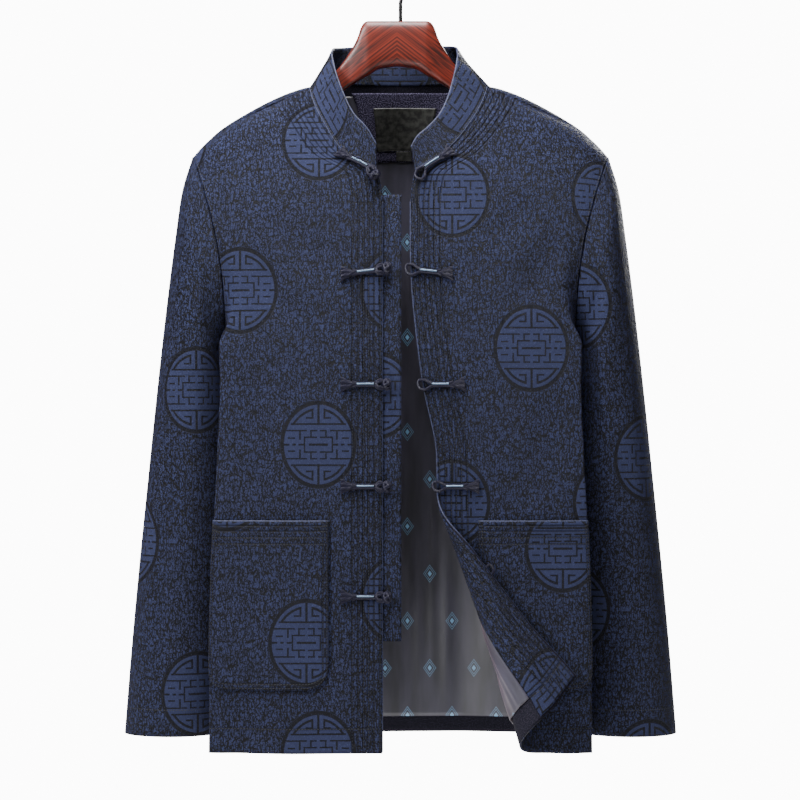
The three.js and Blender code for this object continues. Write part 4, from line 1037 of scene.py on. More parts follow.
def satin_material():
    material, tree, shader = new_material("satin_lining")
    place = grain_mm(tree)
    satin = settings().satin
    # Lighter and darker streaks along the grain are the satin's sheen, painted into its colour.
    streaks = drawn_noise(tree, place, (0.05, 0.008, 1), 3.0)
    ground = mixed(tree, step_up(tree, streaks, 0.3, 0.7), [c * 0.6 for c in satin],
                   [satin[0] * 1.4, satin[1] * 1.35, satin[2] * 1.45])
    motif = use_group(tree, "lozenge", {"Vector": place})["Motif"]
    fine = drawn_noise(tree, place, (3.0, 0.5, 1), 2.0)
    plug(tree, shader, {
        "Base Color": mixed(tree, motif, ground, (0.2, 0.4, 0.62)),
        "Roughness": plus(tree, times(tree, fine, 0.18), 0.27),
        "Normal": bumped(tree, fine, 0.0001, 0.5),
        "Sheen Weight": 0.2, "Sheen Tint": (0.8, 0.5, 0.6, 1), "Specular IOR Level": 0.7})
    return material


def cord_material():
    material, tree, shader = new_material("frog_cord")
    place = vector_calc(tree, "MULTIPLY", grain_mm(tree), (0.4, 0.55, 1))
    twist = node(tree, "ShaderNodeTexWave", {"Vector": place, "Scale": 1.0, "Distortion": 0.6},
                 bands_direction="DIAGONAL").outputs["Fac"]
    plug(tree, shader, {
        "Base Color": mixed(tree, twist, (0.001, 0.001, 0.003), (0.022, 0.02, 0.05)),
        "Roughness": 0.38, "Normal": bumped(tree, twist, 0.0005, 0.8), "Specular IOR Level": 0.3})
    return material


def wood_material():
    material, tree, shader = new_material("lacquered_wood")
    place = parted(tree, vector_calc(tree, "SUBTRACT", object_place(tree), (HANGER_MIDDLE * MM, 0, 0)))
    side = calc(tree, "ABSOLUTE", place["X"])
    slanted = plus(tree, place["Z"], times(tree, side, 0.75))
    grained = node(tree, "ShaderNodeCombineXYZ", {
        "X": times(tree, slanted, 420.0), "Y": times(tree, place["Y"], 160.0),
        "Z": times(tree, side, 14.0)}).outputs[0]
    streaks = node(tree, "ShaderNodeTexNoise", {
        "Vector": grained, "Scale": 1.0, "Detail": 5.0, "Distortion": 0.4}).outputs["Fac"]
    dim, bright = ([c * gain for c in settings().lacquer] for gain in (0.12, 1.15))
    plug(tree, shader, {
        "Base Color": mixed(tree, step_up(tree, streaks, 0.32, 0.68), dim, bright),
        "Roughness": 0.42, "Coat Weight": 0.12, "Coat Roughness": 0.15})
    return material


def mottled_material(name, place, mottle, low, high, blend=None, relief=None, shine=None, **values):
    """One noise between two colours. blend sharpens it, relief is its bump's distance and
    strength, and shine is what it adds to the roughness, and the roughness without it."""
    material, tree, shader = new_material(name)
    fleck = noise(tree, place(tree), *mottle)["Fac"]
    share = step_up(tree, fleck, *blend) if blend else fleck
    plug(tree, shader, {"Base Color": mixed(tree, share, low, high)})
    if relief:
        plug(tree, shader, {"Normal": bumped(tree, fleck, *relief)})
    if shine:
        plug(tree, shader, {"Roughness": plus(tree, times(tree, fleck, shine[0]), shine[1])})
    plug(tree, shader, {name.replace("_", " "): value for name, value in values.items()})
    return material


def reverse_material(name, ground, fleck):
    """The jacquard's wrong side: dark, with a purple cast and pale flecks, in the colours given; the darker
    copy holds painted shade.
    """
    return mottled_material(name, grain_mm, (0.8, 3.0), ground, fleck, (0.45, 0.62), (0.0004, 0.6),
                            Roughness=0.8, Specular_IOR_Level=0.15)


def make_materials():
    EFFECTS.update(bark=bark_weave(), fret=fret_medallions(), lozenge=lozenges(), grooves=stitch_grooves())
    dim, bright = ([c * gain for c in settings().blue] for gain in (0.3, 1.4))
    MATERIALS.update(
        jacquard=jacquard_material("jacquard", 1.0),
        collar=jacquard_material("jacquard_collar", 0.92),
        # The reverse copy is darker than the neck facing's: painted shade for the inside of the hem.
        reverse=reverse_material("jacquard_reverse_shaded", (0.005, 0.005, 0.01), (0.022, 0.019, 0.034)),
        neck=reverse_material("neck_facing", (0.014, 0.012, 0.026), (0.13, 0.115, 0.2)),
        # The turned edges are plain blue, lighter than the jacquard beside them: a painted highlight on real
        # rounded edges.
        edge=mottled_material("turned_edge_painted_highlight", object_place, (620.0, 2.0), dim, bright, (0.35, 0.6),
                              Roughness=0.6),
        satin=satin_material(),
        cord=cord_material(),
        wrap=mottled_material("metal_wrap", object_place, (420.0, 2.0), (0.06, 0.1, 0.17),
                              (0.34, 0.46, 0.64), Metallic=0.85, Roughness=0.3),
        thread=mottled_material("sewing_thread", object_place, (900.0, 2.0), (0.003, 0.003, 0.006),
                                (0.012, 0.013, 0.024), Roughness=0.5),
        label=mottled_material("label_cloth", grain_mm, (0.16, 6.0), (0.006, 0.006, 0.006),
                               (0.05, 0.051, 0.046), (0.35, 0.65), (0.0002, 0.5), Roughness=0.45),
        wood=wood_material(),
        steel=mottled_material("hook_steel", object_place, (160.0, 4.0), (0.01, 0.01, 0.011),
                               (0.035, 0.034, 0.036), shine=(0.2, 0.25), Metallic=0.7))


# ---- Pieces --------------------------------------------------------------------------------


def build_body():
    for key, name in ((RIGHT, "front_right"), (LEFT, "front_left"), ("back", "back")):
        panel = panels()[key]
        trim = None if key == "back" else edge_trim(panel.still)
        add_sheet(name, panel.points, panel.normals, panel.grain, trim=trim, inside="reverse")


def sleeve_grid(side):
    """Rings of a sleeve from armhole to cuff, each closed on itself at the underarm."""
    step = settings().grid / MM
    angles = np.linspace(180, 540, round(SLEEVE_SIZE[0] / step) + 1) % 360
    angles[0], angles[-1] = 180, 180
    arm = armhole(angles) + (SLEEVE_CLEAR, 0, 0)
    control = [arm]
    radians = np.radians(angles)
    drop = (1 - np.cos(radians)) / 2
    for row in SLEEVE_RINGS:
        outer, inner = row["outer"], row["inner"]
        control.append(np.stack([
            outer[0] + (inner[0] - outer[0]) * drop,
            row["mid_y"] - row["half_depth"] * np.sin(radians),
            outer[1] + (inner[1] - outer[1]) * drop], axis=-1))
    knots = np.linspace(0, 1, len(control))
    numbers = lines(SLEEVE_SIZE[1], step)
    rings = smooth(knots, np.stack(control), numbers) * (side, 1, 1)
    ring_number = numbers[:, None] * (len(control) - 1)
    depth = np.zeros(rings.shape[:2])
    for fold in SLEEVE_FOLDS[side]:
        round_it = np.radians(angles[None, :] - fold["angle"]) * SLEEVE_RADIUS
        along = (ring_number - fold["ring"]) / fold["long"]
        depth += fold["depth"] * np.exp(-(round_it / fold["wide"]) ** 2 - along ** 2)
    depth *= np.minimum(1, ring_number)
    middle = rings[:, :-1].mean(1, keepdims=True)
    rings = rings + unit(middle - rings) * depth[..., None]
    front = int(np.argmin(np.abs(angles - 90)))
    steps = np.diff(rings[..., :2], axis=1)
    sums = np.cumsum(np.linalg.norm(steps, axis=-1), axis=1)
    arc = np.concatenate([np.zeros((len(rings), 1)), sums], axis=1)
    arc = (arc - arc[:, front:front + 1]) * (-side)
    across = rings[:, front, 0][:, None] + arc
    return rings, np.stack([across, rings[..., 2]], axis=-1)


def build_sleeve(name, side):
    """One sleeve, whose grid closes on itself along the underarm."""
    points, coords = sleeve_grid(side)
    bm = sheet_bmesh(points, coords - np.array(PATTERN_AT[name]), around=True)
    bm.normal_update()
    centre = Vector(points.reshape(-1, 3).mean(0) * MM)
    bm.faces.ensure_lookup_table()
    outwards = sum((face.calc_center_median() - centre).dot(face.normal) for face in bm.faces)
    if outwards < 0:
        bmesh.ops.reverse_faces(bm, faces=bm.faces)
    piece = add_object(name + "_cloth", bm, "jacquard", [name], settings().cloth, "reverse")
    declare(coords)


def build_sleeves():
    build_sleeve("sleeve_right", RIGHT)
    build_sleeve("sleeve_left", LEFT)


def neckline():
    """Points of the collar seam from the right front's end round to the left front's."""
    fronts = {}
    for side in (RIGHT, LEFT):
        panel = panels()[side]
        rows = panel.t >= FRONT_KNOTS[NECK_ROW] - 1e-9
        fronts[side] = panel.points[rows][:, 0]
    back = panels()["back"]
    inside = (back.s > BACK_COLUMNS[2]) & (back.s < 1 - BACK_COLUMNS[2])
    return np.concatenate([fronts[RIGHT], back.points[-1][inside], fronts[LEFT][::-1]])


def collar_grid():
    seam = resampled(neckline(), COLLAR_GRID[0])
    share = chord_knots(seam)
    edge = smooth([row[0] for row in COLLAR_EDGE], [row[1] for row in COLLAR_EDGE], share)
    base = seam - unit(edge - seam) * COLLAR_TUCK
    rise = np.linspace(0, 1, COLLAR_GRID[1])[:, None, None]
    points = base[None] * (1 - rise) + edge[None] * rise
    length = share * np.linalg.norm(np.diff(seam, axis=0), axis=1).sum()
    height = np.linalg.norm(edge - base, axis=1)
    coords = np.stack([np.broadcast_to(length, points.shape[:2]), rise[..., 0] * height[None]], axis=-1)
    inward = np.cross(np.gradient(base, axis=0), edge - base)
    return points, coords, -unit(inward)


def build_collar():
    points, coords, outward = collar_grid()
    add_sheet("collar", points, np.broadcast_to(outward, points.shape), coords, "collar",
              thickness=settings().collar_cloth)


def pocket_outline(panel):
    """Grid of a patch pocket in s and t, with its lower corners drawn round."""
    top, bottom = panel.t_at(POCKET["top"]), panel.t_at(POCKET["bottom"])
    wide = lines(POCKET["wide"], 2.8)
    high = lines(POCKET["high"], 3.1)
    s_span = POCKET["outer_s"] - POCKET["inner_s"]
    s = np.broadcast_to(POCKET["inner_s"] + wide * s_span, (len(high), len(wide))).copy()
    t = np.broadcast_to((bottom + high * (top - bottom))[:, None], s.shape).copy()
    from_side = np.minimum(wide, 1 - wide) * POCKET["wide"]
    over = np.clip(1 - from_side / POCKET["round"], 0, 1)
    rise = (1 - np.sqrt(1 - over ** 2)) * POCKET["round"] / POCKET["high"]
    lifted = bottom + (high[:, None] + rise[None] * (1 - high[:, None]) ** 2) * (top - bottom)
    return s, np.maximum(t, lifted), wide, high


def build_pocket(name, side):
    panel = panels()[side]
    s, t, wide, high = pocket_outline(panel)
    cloth = settings().cloth / MM
    gape = POCKET["gape"] * np.clip((high - 0.86) / 0.14, 0, 1)[:, None] ** 2 * np.sin(math.pi * wide)[None]
    points, normals, coords = panel.at(s, t, POCKET["lift"] + cloth + gape)
    from_side = np.minimum(wide, 1 - wide)[None] * POCKET["wide"]
    border = np.minimum(from_side, run_along(points, 0))
    trim = np.stack([border + TRIM_POCKET, run_along(points[::-1], 0)[::-1] + TRIM_POCKET], axis=-1)
    add_sheet(name, points, normals, coords, trim=trim, inside="reverse")


def build_pockets():
    build_pocket("pocket_right", RIGHT)
    build_pocket("pocket_left", LEFT)


def build_underlap():
    panel = panels()[RIGHT]
    cloth = settings().cloth / MM
    t = np.linspace(panel.t_at(UNDERLAP["bottom"]), panel.t_at(UNDERLAP["top"]), 130)[:, None]
    s = np.linspace(UNDERLAP["hidden_s"], 0, 9)[None, :]
    points, normals, _ = panel.at(s, t, -(cloth + SEAM_GAP))
    free = points[:, -1:].copy()
    free[..., 0] = -UNDERLAP["free"]
    share = np.linspace(0, 1, 8)[1:][None, :, None]
    strip = points[:, -1:] * (1 - share) + free * share
    points = np.concatenate([points, strip], axis=1)
    normals = np.concatenate([normals, np.repeat(normals[:, -1:], 7, axis=1)], axis=1)
    coords = np.stack([points[..., 0], points[..., 2]], axis=-1)
    add_sheet("underlap", points, normals, coords)


def inner_patch(name, panel, s, t, material="jacquard", level=0, ripple=0.0,
                trim=None):
    """A sheet on the inside of a panel: its normals look into the garment."""
    cloth, lining = settings().cloth / MM, settings().lining / MM
    lift = -(cloth + 0.3 + level * (lining + 0.3)) - lining - ripple
    points, normals, coords = panel.at(s, t, lift)
    add_sheet(name, points, -normals, coords, material, settings().lining, trim)


def lining_ripples(s, t, folds):
    """How far a loose lining stands off: soft upright folds that fade at its ends."""
    lift = 0.0
    for fold in folds:
        along = np.clip((t - fold["from"]) / (fold["to"] - fold["from"]), 0, 1)
        lift = lift + fold["high"] * np.sin(math.pi * along) * np.exp(-((s - fold["s"]) / fold["wide"]) ** 2)
    return lift


def mesh_lines(s_span, t_span, s_count, t_count):
    """Evenly spaced s in a row and t in a column."""
    return np.linspace(*s_span, s_count)[None, :], np.linspace(*t_span, t_count)[:, None]


def build_linings():
    left, back = panels()[LEFT], panels()["back"]
    top = left.t_at(FACING["top"])
    s, t = mesh_lines((FACING["from_s"], FACING["to_s"]), (0.004, top), 30, 100)
    flat = left.mix(left.still, *np.broadcast_arrays(s, t))
    inner_patch("facing_front_left", left, s, t, trim=edge_trim(flat))
    s, t = mesh_lines((FACING["to_s"] + 0.002, FACING["lining_s"]),
                      (left.t_at(HEM_Z + FACING["hem_turn"]), top), 60, 120)
    inner_patch("lining_front_left", left, s, t, "satin",
                ripple=lining_ripples(s, t, FRONT_LINING_FOLDS))
    s, t = mesh_lines((BACK_LINING["side_s"], 1 - BACK_LINING["side_s"]),
                      (back.t_at(BACK_LINING["hem"], 0.5), back.t_at(BACK_LINING["top"], 0.5)), 130, 150)
    inner_patch("lining_back", back, s, t, "satin",
                ripple=lining_ripples(s, t, BACK_LINING_FOLDS))


def build_neck_pieces():
    back = panels()["back"]
    for name, area, level, material, slot in (("neck_facing", NECK_FACING, 1, "neck", "jacquard"),
                                              ("neck_label", NECK_LABEL, 2, "label", "label_cloth"),
                                              ("size_tag", SIZE_TAG, 2, "label", "label_cloth")):
        low, high = back.t_at(area["bottom"], 0.5), back.t_at(area["top"], 0.5)
        span = back.back_s_at(area["left"], low), back.back_s_at(area["right"], low)
        s, t = mesh_lines(span, (low, high), 28, 24)
        inner_patch(name, back, s, t, material, level)


# ---- Frogs ---------------------------------------------------------------------------------

def row_route(side, z, set_out):
    """Places a frog's own points: u from the front edge, v above the row, h off the cloth."""
    panel = panels()[side]

    def route(local):
        u, v, h = (np.asarray(local, float)[..., k] for k in range(3))
        u = u - set_out
        t = panel.t_at(z + v)
        edge = np.abs(panel.mix(panel.still, np.zeros_like(t), t)[..., 0])
        held = np.maximum(u, 0.2)
        on_edge, normals, _ = panel.at(panel.s_at(edge + held, t), t)
        inner, _, _ = panel.at(panel.s_at(edge + 3.2, t), t)
        first, _, _ = panel.at(panel.s_at(edge + 0.2, t), t)
        outwards = unit(first - inner)
        return on_edge + outwards * (held - u)[..., None] + normals * h[..., None]

    return route


def neckline_route(side):
    panel = panels()[side]
    t = np.linspace(FRONT_KNOTS[NECK_ROW], 1, 60)
    line, normals, _ = panel.at(np.full(60, NECK_FROG_S), t)
    sums = path_lengths(line)

    def along(u):
        held = np.clip(u, 0, sums[-1])
        start = unit(line[0] - line[4])
        return (read_along(held, sums, line) + start * (held - u)[..., None],
                unit(read_along(held, sums, normals)))

    def route(local):
        u, v, h = (np.asarray(local, float)[..., k] for k in range(3))
        point, normal = along(u)
        up = unit(np.cross(normal, along(u + 1)[0] - along(u - 1)[0]))
        return point + up * (side * v)[..., None] + normal * h[..., None]

    return route


def ball_knot(route, lift):
    """A button knot: a cord wound round a ball, over and under itself."""
    count = 170
    angle = np.linspace(0, 2 * math.pi * KNOT["turns"], count, endpoint=False)
    wave = angle * KNOT["waves"] / KNOT["turns"]
    tilt = np.radians(KNOT["tilt"]) * np.sin(wave)
    reach = KNOT["radius"] + KNOT["bulge"] * np.cos(2 * wave)
    local = np.stack([
        KNOT["middle"] + reach * np.sin(tilt),
        reach * np.cos(tilt) * np.cos(angle),
        lift + KNOT["radius"] + KNOT["cord"] * 0.5 + reach * np.cos(tilt) * np.sin(angle) * KNOT["squash"],
    ], axis=-1)
    return swept_rings(route(local), KNOT["cord"], closed=True)


def knot_base(route, lift):
    """The two crossed bights that seat the ball on the front edge."""
    for way in (1, -1):
        local = resampled([
            (-2.5, way * 2.6, lift + 4.2), (1, way * 5.0, lift + 3.4), (4.6, way * 4.2, lift + 2.6),
            (6.2, way * 1.2, lift + 3.4), (4, -way * 2.2, lift + 3.9), (0.5, -way * 2.8, lift + 4.4)], 40)
        yield swept_rings(route(local), CORD)


def neck_cords(route, lift, inner_u):
    """The two cords that run side by side from the knot or eye to the tail."""
    for way in (1, -1):
        local = resampled([
            (inner_u, way * 2.4, lift + CORD + 0.8), (9, way * 1.6, lift + CORD + 0.2),
            (18, way * 1.45, lift + CORD), (28, way * 1.5, lift + CORD), (33, way * 3, lift + CORD)], 40)
        yield swept_rings(route(local), CORD)


def tail_folds(route, lift):
    """The cord's flattened end, folded to and fro and fanned out."""
    along = np.linspace(0, 1, 26)
    u = TAIL["from"] + TAIL["long"] * along
    for k, petal in enumerate(TAIL_PETALS):
        v = petal["spread"] * along ** 1.15 + 0.35 * np.sin(9 * along + 2 * k)
        h = lift + 1.35 + petal["high"] * np.sin(math.pi * along) + 0.35 * np.sin(13 * along + 3 * k)
        centre = route(np.stack([u, v, h], axis=-1))
        aside = unit(route(np.stack([u, v + 1, h], axis=-1)) - centre)
        out = unit(route(np.stack([u, v, h + 1], axis=-1)) - centre)
        crumple = 0.22 * np.sin(17 * along + k)
        wide = TAIL["neck"] + (petal["wide"] - TAIL["neck"]) * along ** 0.7
        yield tube_rings(centre, aside, out, wide + crumple, 1.25 - 0.25 * along - crumple, 10)


def metal_wrap(route, lift):
    """Fine metal thread wound round the cords between knot and tail."""
    count = 110
    u = np.linspace(WRAP["from"], WRAP["to"], count)
    ridge = 0.12 * np.cos(2 * math.pi * WRAP["turns"] * np.linspace(0, 1, count))
    v, h = np.full(count, 0.9), np.full(count, lift + CORD + 0.75)
    centre = route(np.stack([u, v, h], axis=-1))
    above = route(np.stack([u, v + 1, h], axis=-1))
    out = route(np.stack([u, v, h + 1], axis=-1))
    return tube_rings(centre, unit(above - centre), unit(out - centre), 1.15 + ridge, 1.35 + ridge, 12)


def loop_eye(route, lift):
    """The loop half's teardrop eye, from cord to cord."""
    local = resampled([
        (11, 1.5, CORD), (6.5, 2.9, CORD), (1.8, 5.2, CORD), (-3.0, 4.9, CORD), (-5.6, 0.8, CORD),
        (-4.4, -4.0, CORD), (0.4, -5.6, CORD), (6, -3.2, CORD), (11, -1.5, CORD)], 70)
    local[:, 2] += lift
    return swept_rings(route(local), CORD)


def build_frog(name, route, lift, knot):
    bm = bmesh.new()
    if knot:
        add_tube(bm, ball_knot(route, lift), closed=True)
        parts = [*knot_base(route, lift), *neck_cords(route, lift, 3)]
    else:
        add_tube(bm, loop_eye(route, lift))
        parts = list(neck_cords(route, lift, 7))
    for rings in parts + list(tail_folds(route, lift)):
        add_tube(bm, rings)
    add_smooth(name + "_cord", bm, "cord", [name])
    add_rod(name + "_wrap", metal_wrap(route, lift), "wrap")


def build_frogs():
    build_frog("frog_knot_1", neckline_route(RIGHT), NECK_FROG_LIFT, True)
    build_frog("frog_loop_1", neckline_route(LEFT), NECK_FROG_LIFT, False)
    for k, row in enumerate(FROG_ROWS, 2):
        loop_lift = ROLLED_FROG_LIFT if row["z"] < ROLL["top_z"] else FROG_LIFT
        build_frog(f"frog_knot_{k}", row_route(RIGHT, row["z"], 0), FROG_LIFT, True)
        build_frog(f"frog_loop_{k}", row_route(LEFT, row["z"], row["loop_out"]), loop_lift, False)


# ---- Stitching -----------------------------------------------------------------------------

def stitch_template():
    bm = bmesh.new()
    bmesh.ops.create_uvsphere(bm, u_segments=6, v_segments=5, radius=1)
    return mesh_of("stitch", bm)


def add_stitches(bm, template, points, normals):
    """Stitches along a line of points, each half sunk in the cloth."""
    sums = path_lengths(points)
    centres = np.arange(STITCH["pitch"] / 2, sums[-1], STITCH["pitch"])
    spread = [read_along(centres, sums, values) for values in (points, normals, np.gradient(points, axis=0))]
    for place, normal, along in zip(*spread):
        along, normal = Vector(along).normalized(), Vector(normal).normalized()
        side = normal.cross(along).normalized()
        turn = Matrix((side, normal, along)).transposed().to_4x4()
        size = Matrix.Diagonal((STITCH["wide"] * MM, STITCH["high"] * MM, STITCH["long"] / 2 * MM, 1))
        matrix = Matrix.Translation(Vector(place) * MM) @ turn @ size
        template.transform(matrix)
        bm.from_mesh(template)
        template.transform(matrix.inverted())


def seam_line(panel, s, t, lift):
    points, normals, _ = panel.at(np.asarray(s, float), np.asarray(t, float), lift)
    return points, normals


def front_edge_lines(side, heights, inset, lift):
    """Rows of stitching that follow a front edge over the given heights."""
    panel = panels()[side]
    t = panel.t_at(heights)
    edge = np.abs(panel.mix(panel.still, np.zeros_like(t), t)[:, 0])
    for away in PLACKET_ROWS:
        yield seam_line(panel, panel.s_at(edge + away + inset, t), t, lift)


def front_lines(side):
    """Stitching along the front edge, beside the armhole and along the hem."""
    yield from front_edge_lines(side, np.linspace(*PLACKET_SPAN, 110), 0, STITCH["lift"])
    panel = panels()[side]
    t = np.linspace(FRONT_KNOTS[UNDERARM_ROW + 1], 0.995, 60)
    yield seam_line(panel, np.full(60, ARMHOLE_ROW_S), t, STITCH["lift"])
    s = np.linspace(0.02, 0.96, 60)
    yield seam_line(panel, s, np.full(60, panel.t_at(HEM_Z + HEM_ROW)), STITCH["lift"])


def pocket_lines(side):
    panel = panels()[side]
    s, t, wide, _ = pocket_outline(panel)
    lift = POCKET["lift"] + settings().cloth / MM + STITCH["lift"]
    for inset in POCKET_BORDER_ROWS:
        left, right = np.interp([inset / POCKET["wide"], 1 - inset / POCKET["wide"]], wide, s[0])
        kept = (s[0] > left) & (s[0] < right)
        up = inset / POCKET["high"] * (t[-1, 0] - t[0].min())
        bottom = t[0][kept] + up
        rise_left, rise_right = np.linspace(t[-1, 0], bottom[0], 60), np.linspace(bottom[-1], t[-1, 0], 60)
        border_s = np.concatenate([np.full(60, left), s[0][kept], np.full(60, right)])
        border_t = np.concatenate([rise_left, bottom, rise_right])
        yield seam_line(panel, border_s, border_t, lift)
    for drop in POCKET_TOP_ROWS:
        heights = np.full(s.shape[1] - 2, panel.t_at(POCKET["top"] - drop))
        yield seam_line(panel, s[-1, 1:-1], heights, lift)


def facing_lines():
    panel = panels()[LEFT]
    lift = -(settings().cloth + settings().lining) / MM - 0.45
    yield from front_edge_lines(LEFT, np.linspace(*FACING_SPAN, 60), 2, lift)
    s = np.linspace(0.03, FACING["to_s"] - 0.01, 30)
    yield seam_line(panel, s, np.full(30, panel.t_at(HEM_Z + HEM_ROW)), lift)


def collar_lines():
    points, _, outward = collar_grid()
    for row in COLLAR_ROWS:
        yield points[row] + outward * STITCH["lift"], outward
    yield points[COLLAR_ROWS[-1]] - outward * (settings().collar_cloth / MM + STITCH["lift"]), -outward


def cuff_lines(side):
    points, _ = sleeve_grid(side)
    ring = int(len(points) * 0.965)
    yield points[ring], unit(points[ring] - points[ring].mean(0))


def build_stitching():
    template = stitch_template()
    rows = {
        "front_right": front_lines(RIGHT), "front_left": front_lines(LEFT),
        "pocket_right": pocket_lines(RIGHT), "pocket_left": pocket_lines(LEFT),
        "facing": facing_lines(), "collar": collar_lines(),
        "cuff_right": cuff_lines(RIGHT), "cuff_left": cuff_lines(LEFT),
    }
    for name, seams in rows.items():
        bm = bmesh.new()
        for points, normals in seams:
            add_stitches(bm, template, points, normals)
        add_smooth("stitches_" + name, bm, "thread")
    bpy.data.meshes.remove(template)


# ---- Turned edges --------------------------------------------------------------------------

def edge_rolls():
    """Name, path and radius of the rolls that round off turned edges."""
    cloth, collar_cloth = settings().cloth / MM, settings().collar_cloth / MM
    for side, name in ((RIGHT, "right"), (LEFT, "left")):
        panel = panels()[side]
        t = np.linspace(0.002, FRONT_KNOTS[NECK_ROW - 1], 260)
        path, _, _ = panel.at(np.full(260, 0.0), t, -cloth / 2)
        yield "edge_front_" + name, path, cloth / 2
        s, t, wide, _ = pocket_outline(panel)
        gape = POCKET["gape"] * np.sin(math.pi * wide)
        path, _, _ = panel.at(s[-1], t[-1], POCKET["lift"] + cloth / 2 + gape)
        yield "edge_pocket_" + name, path, cloth / 2 + 0.1
    points, _, outward = collar_grid()
    yield "edge_collar_top", points[-1] - outward * collar_cloth / 2, collar_cloth / 2
    yield "edge_collar_seam", points[1] + outward * 0.1, 0.45


def build_edges():
    for name, path, radius in edge_rolls():
        add_rod(name, swept_rings(path, radius), "edge")


# ---- Hanger --------------------------------------------------------------------------------

def build_hanger():
    sections = np.array(HANGER_SECTIONS, float)
    last = sections[-1, 0]
    x = np.linspace(-last, last, 150)
    top, bottom, depth = (smooth(sections[:, 0], sections[:, k], np.abs(x)) for k in (1, 2, 3))
    depth = depth - np.interp(np.abs(x), *HANGER_FACET)
    angles = np.linspace(0, 2 * math.pi, 61)
    shift = HANGER_MIDDLE * (1 - np.abs(x) / last)

    def squared(value):
        return np.sign(value) * np.abs(value) ** 0.5

    rings = np.stack(np.broadcast_arrays(
        (x + shift)[:, None], depth[:, None] * squared(np.sin(angles)),
        ((top + bottom) / 2)[:, None] + ((top - bottom) / 2)[:, None] * squared(np.cos(angles))), axis=-1)
    add_rod("hanger_lacquered", rings, "wood", ["hanger_wood"])


def build_hook():
    reach = HOOK["radius"] + HOOK["wire"] / 2
    angles = np.radians(np.linspace(HOOK["from"], HOOK["to"], 70))
    arc = np.stack([reach * np.cos(angles), 0 * angles, -HOOK["radius"] + reach * np.sin(angles)], axis=-1)
    stem = np.array([(0, 0, HOOK["foot"]), (0, 0, HOOK["bend"] - 6), (0, 0, HOOK["bend"]),
                     (0.9, 0, HOOK["bend"] + 4.5), (4.6, 0, HOOK["bend"] + 11.5)])
    path = resampled(np.concatenate([stem, arc]), 130)
    ahead = unit(np.gradient(path, axis=0))
    out = np.broadcast_to(np.array([0, 1.0, 0]), path.shape)
    rings = tube_rings(path, np.cross(ahead, out), out, HOOK["wire"] / 2, HOOK["wire"] / 2, 20)
    add_rod("hanger_hook_rod", rings, "steel", ["hanger_hook"])


# ---- Stage ---------------------------------------------------------------------------------

def add_area_light(name, place, aim, size, power):
    data = bpy.data.lights.new(name, "AREA")
    data.shape, data.size, data.energy = "SQUARE", size, power
    lamp = link(name, data)
    lamp.location = place
    lamp.rotation_euler = (Vector(aim) - Vector(place)).to_track_quat("-Z", "Y").to_euler()


def build_floor():
    """A pale round floor below the garment."""
    bm = bmesh.new()
    bmesh.ops.create_circle(bm, cap_ends=True, radius=FLOOR["radius"], segments=96)
    bmesh.ops.translate(bm, verts=bm.verts, vec=(0, 0, FLOOR["height"]))
    floor = link("floor", mesh_of("floor", bm))
    material, tree, shader = new_material("pale_floor")
    plug(tree, shader, {"Base Color": (0.9, 0.9, 0.9, 1), "Roughness": 0.9})
    floor.data.materials.append(material)


def build_world():
    """Soft white light all round; what the camera sees of it is near white."""
    world = bpy.data.worlds.new("studio")
    world.use_nodes = True
    tree = world.node_tree
    seen = node(tree, "ShaderNodeLightPath").outputs["Is Camera Ray"]
    strength = plus(tree, times(tree, seen, WORLD["seen"] - WORLD["light"]), WORLD["light"])
    plug(tree, tree.nodes["Background"], {"Color": (1, 1, 1, 1), "Strength": strength})
    bpy.context.scene.world = world


def build_stage():
    data = bpy.data.cameras.new("camera")
    data.sensor_width = 36
    data.lens = CAMERA["focal_px"] * data.sensor_width / CAMERA["frame_px"]
    data.shift_x = (CAMERA["frame_px"] / 2 - CAMERA["middle_px"]) / CAMERA["frame_px"]
    data.dof.use_dof = False
    camera = link("camera", data)
    camera.location = CAMERA["place"]
    camera.rotation_euler = (math.radians(90), 0, 0)
    bpy.context.scene.camera = camera
    build_world()
    build_floor()
    for light in LIGHTS:
        add_area_light(**light)


# ---- Operators -----------------------------------------------------------------------------

class JacketStep:
    """What the operators share: each runs its own steps."""

    def execute(self, context):
        for build in self.steps:
            build()
        return {"FINISHED"}


class JACKET_OT_stage(JacketStep, bpy.types.Operator):
    """Place the camera, the lights and the pale floor"""
    bl_idname = "jacket.stage"
    bl_label = "Stage"
    steps = (build_stage,)


class JACKET_OT_materials(JacketStep, bpy.types.Operator):
    """Make the cloths, cords, lacquer and steel"""
    bl_idname = "jacket.materials"
    bl_label = "Materials"
    steps = (make_materials,)


class JACKET_OT_body(JacketStep, bpy.types.Operator):
    """Build both fronts and the back"""
    bl_idname = "jacket.body"
    bl_label = "Fronts and back"
    steps = (build_body,)


class JACKET_OT_sleeves(JacketStep, bpy.types.Operator):
    """Build both sleeves"""
    bl_idname = "jacket.sleeves"
    bl_label = "Sleeves"
    steps = (build_sleeves,)


class JACKET_OT_collar(JacketStep, bpy.types.Operator):
    """Build the stand collar"""
    bl_idname = "jacket.collar"
    bl_label = "Collar"
    steps = (build_collar,)


class JACKET_OT_pockets(JacketStep, bpy.types.Operator):
    """Build the patch pockets and the underlap"""
    bl_idname = "jacket.pockets"
    bl_label = "Pockets and underlap"
    steps = (build_pockets, build_underlap)


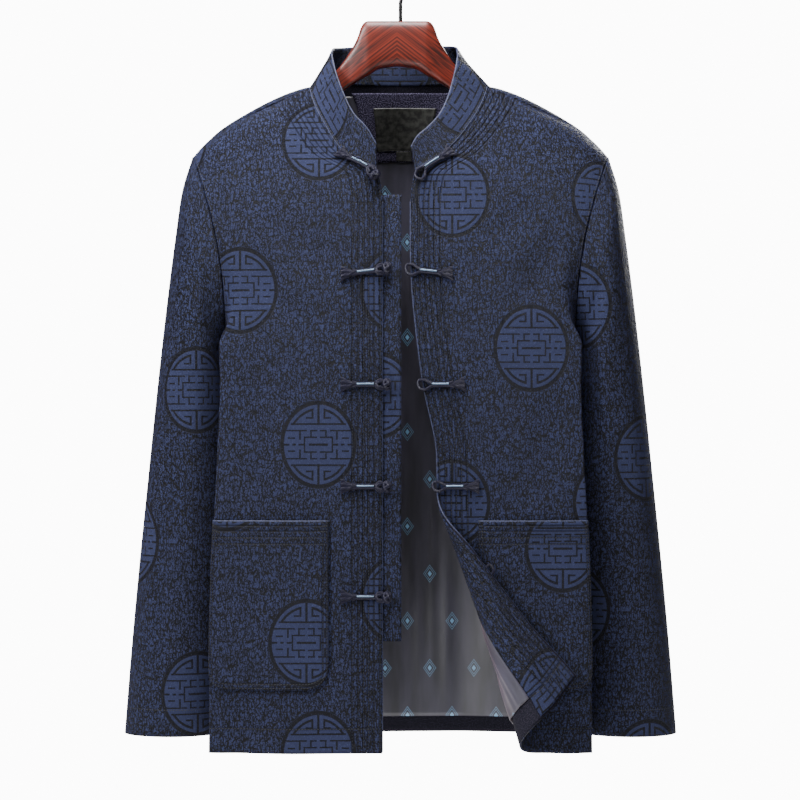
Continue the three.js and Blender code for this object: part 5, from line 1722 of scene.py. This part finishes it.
class JACKET_OT_inside(JacketStep, bpy.types.Operator):
    """Build the facings, the linings and the blank labels"""
    bl_idname = "jacket.inside"
    bl_label = "Inside"
    steps = (build_linings, build_neck_pieces)


class JACKET_OT_frogs(JacketStep, bpy.types.Operator):
    """Build the five frog closures"""
    bl_idname = "jacket.frogs"
    bl_label = "Frog closures"
    steps = (build_frogs,)


class JACKET_OT_stitching(JacketStep, bpy.types.Operator):
    """Sew the rows of topstitching"""
    bl_idname = "jacket.stitching"
    bl_label = "Topstitching"
    steps = (build_stitching,)


class JACKET_OT_edges(JacketStep, bpy.types.Operator):
    """Round off the turned edges of fronts, pockets and collar"""
    bl_idname = "jacket.edges"
    bl_label = "Turned edges"
    steps = (build_edges,)


class JACKET_OT_hanger(JacketStep, bpy.types.Operator):
    """Build the hanger and its hook"""
    bl_idname = "jacket.hanger"
    bl_label = "Hanger"
    steps = (build_hanger, build_hook)


OPERATORS = (
    JACKET_OT_stage, JACKET_OT_materials, JACKET_OT_body, JACKET_OT_sleeves, JACKET_OT_collar,
    JACKET_OT_pockets, JACKET_OT_inside, JACKET_OT_frogs, JACKET_OT_stitching, JACKET_OT_edges,
    JACKET_OT_hanger,
)


class JACKET_PT_sidebar(bpy.types.Panel):
    """Lists the jacket's settings and the steps that build it"""
    bl_idname = "JACKET_PT_sidebar"
    bl_label = "Jacket"
    bl_space_type = "VIEW_3D"
    bl_region_type = "UI"
    bl_category = "Jacket"

    def draw(self, context):
        for name in JacketSettings.__annotations__:
            self.layout.prop(context.scene.jacket, name)
        for operator in OPERATORS:
            self.layout.operator(operator.bl_idname)


CLASSES = (JacketSettings, *OPERATORS, JACKET_PT_sidebar)


def register():
    for each in CLASSES:
        bpy.utils.register_class(each)
    bpy.types.Scene.jacket = bpy.props.PointerProperty(type=JacketSettings)


def unregister():
    del bpy.types.Scene.jacket
    for each in reversed(CLASSES):
        bpy.utils.unregister_class(each)


def main():
    register()
    for operator in OPERATORS:
        getattr(bpy.ops.jacket, operator.bl_idname.split(".")[1])()


if __name__ == "__main__":
    main()
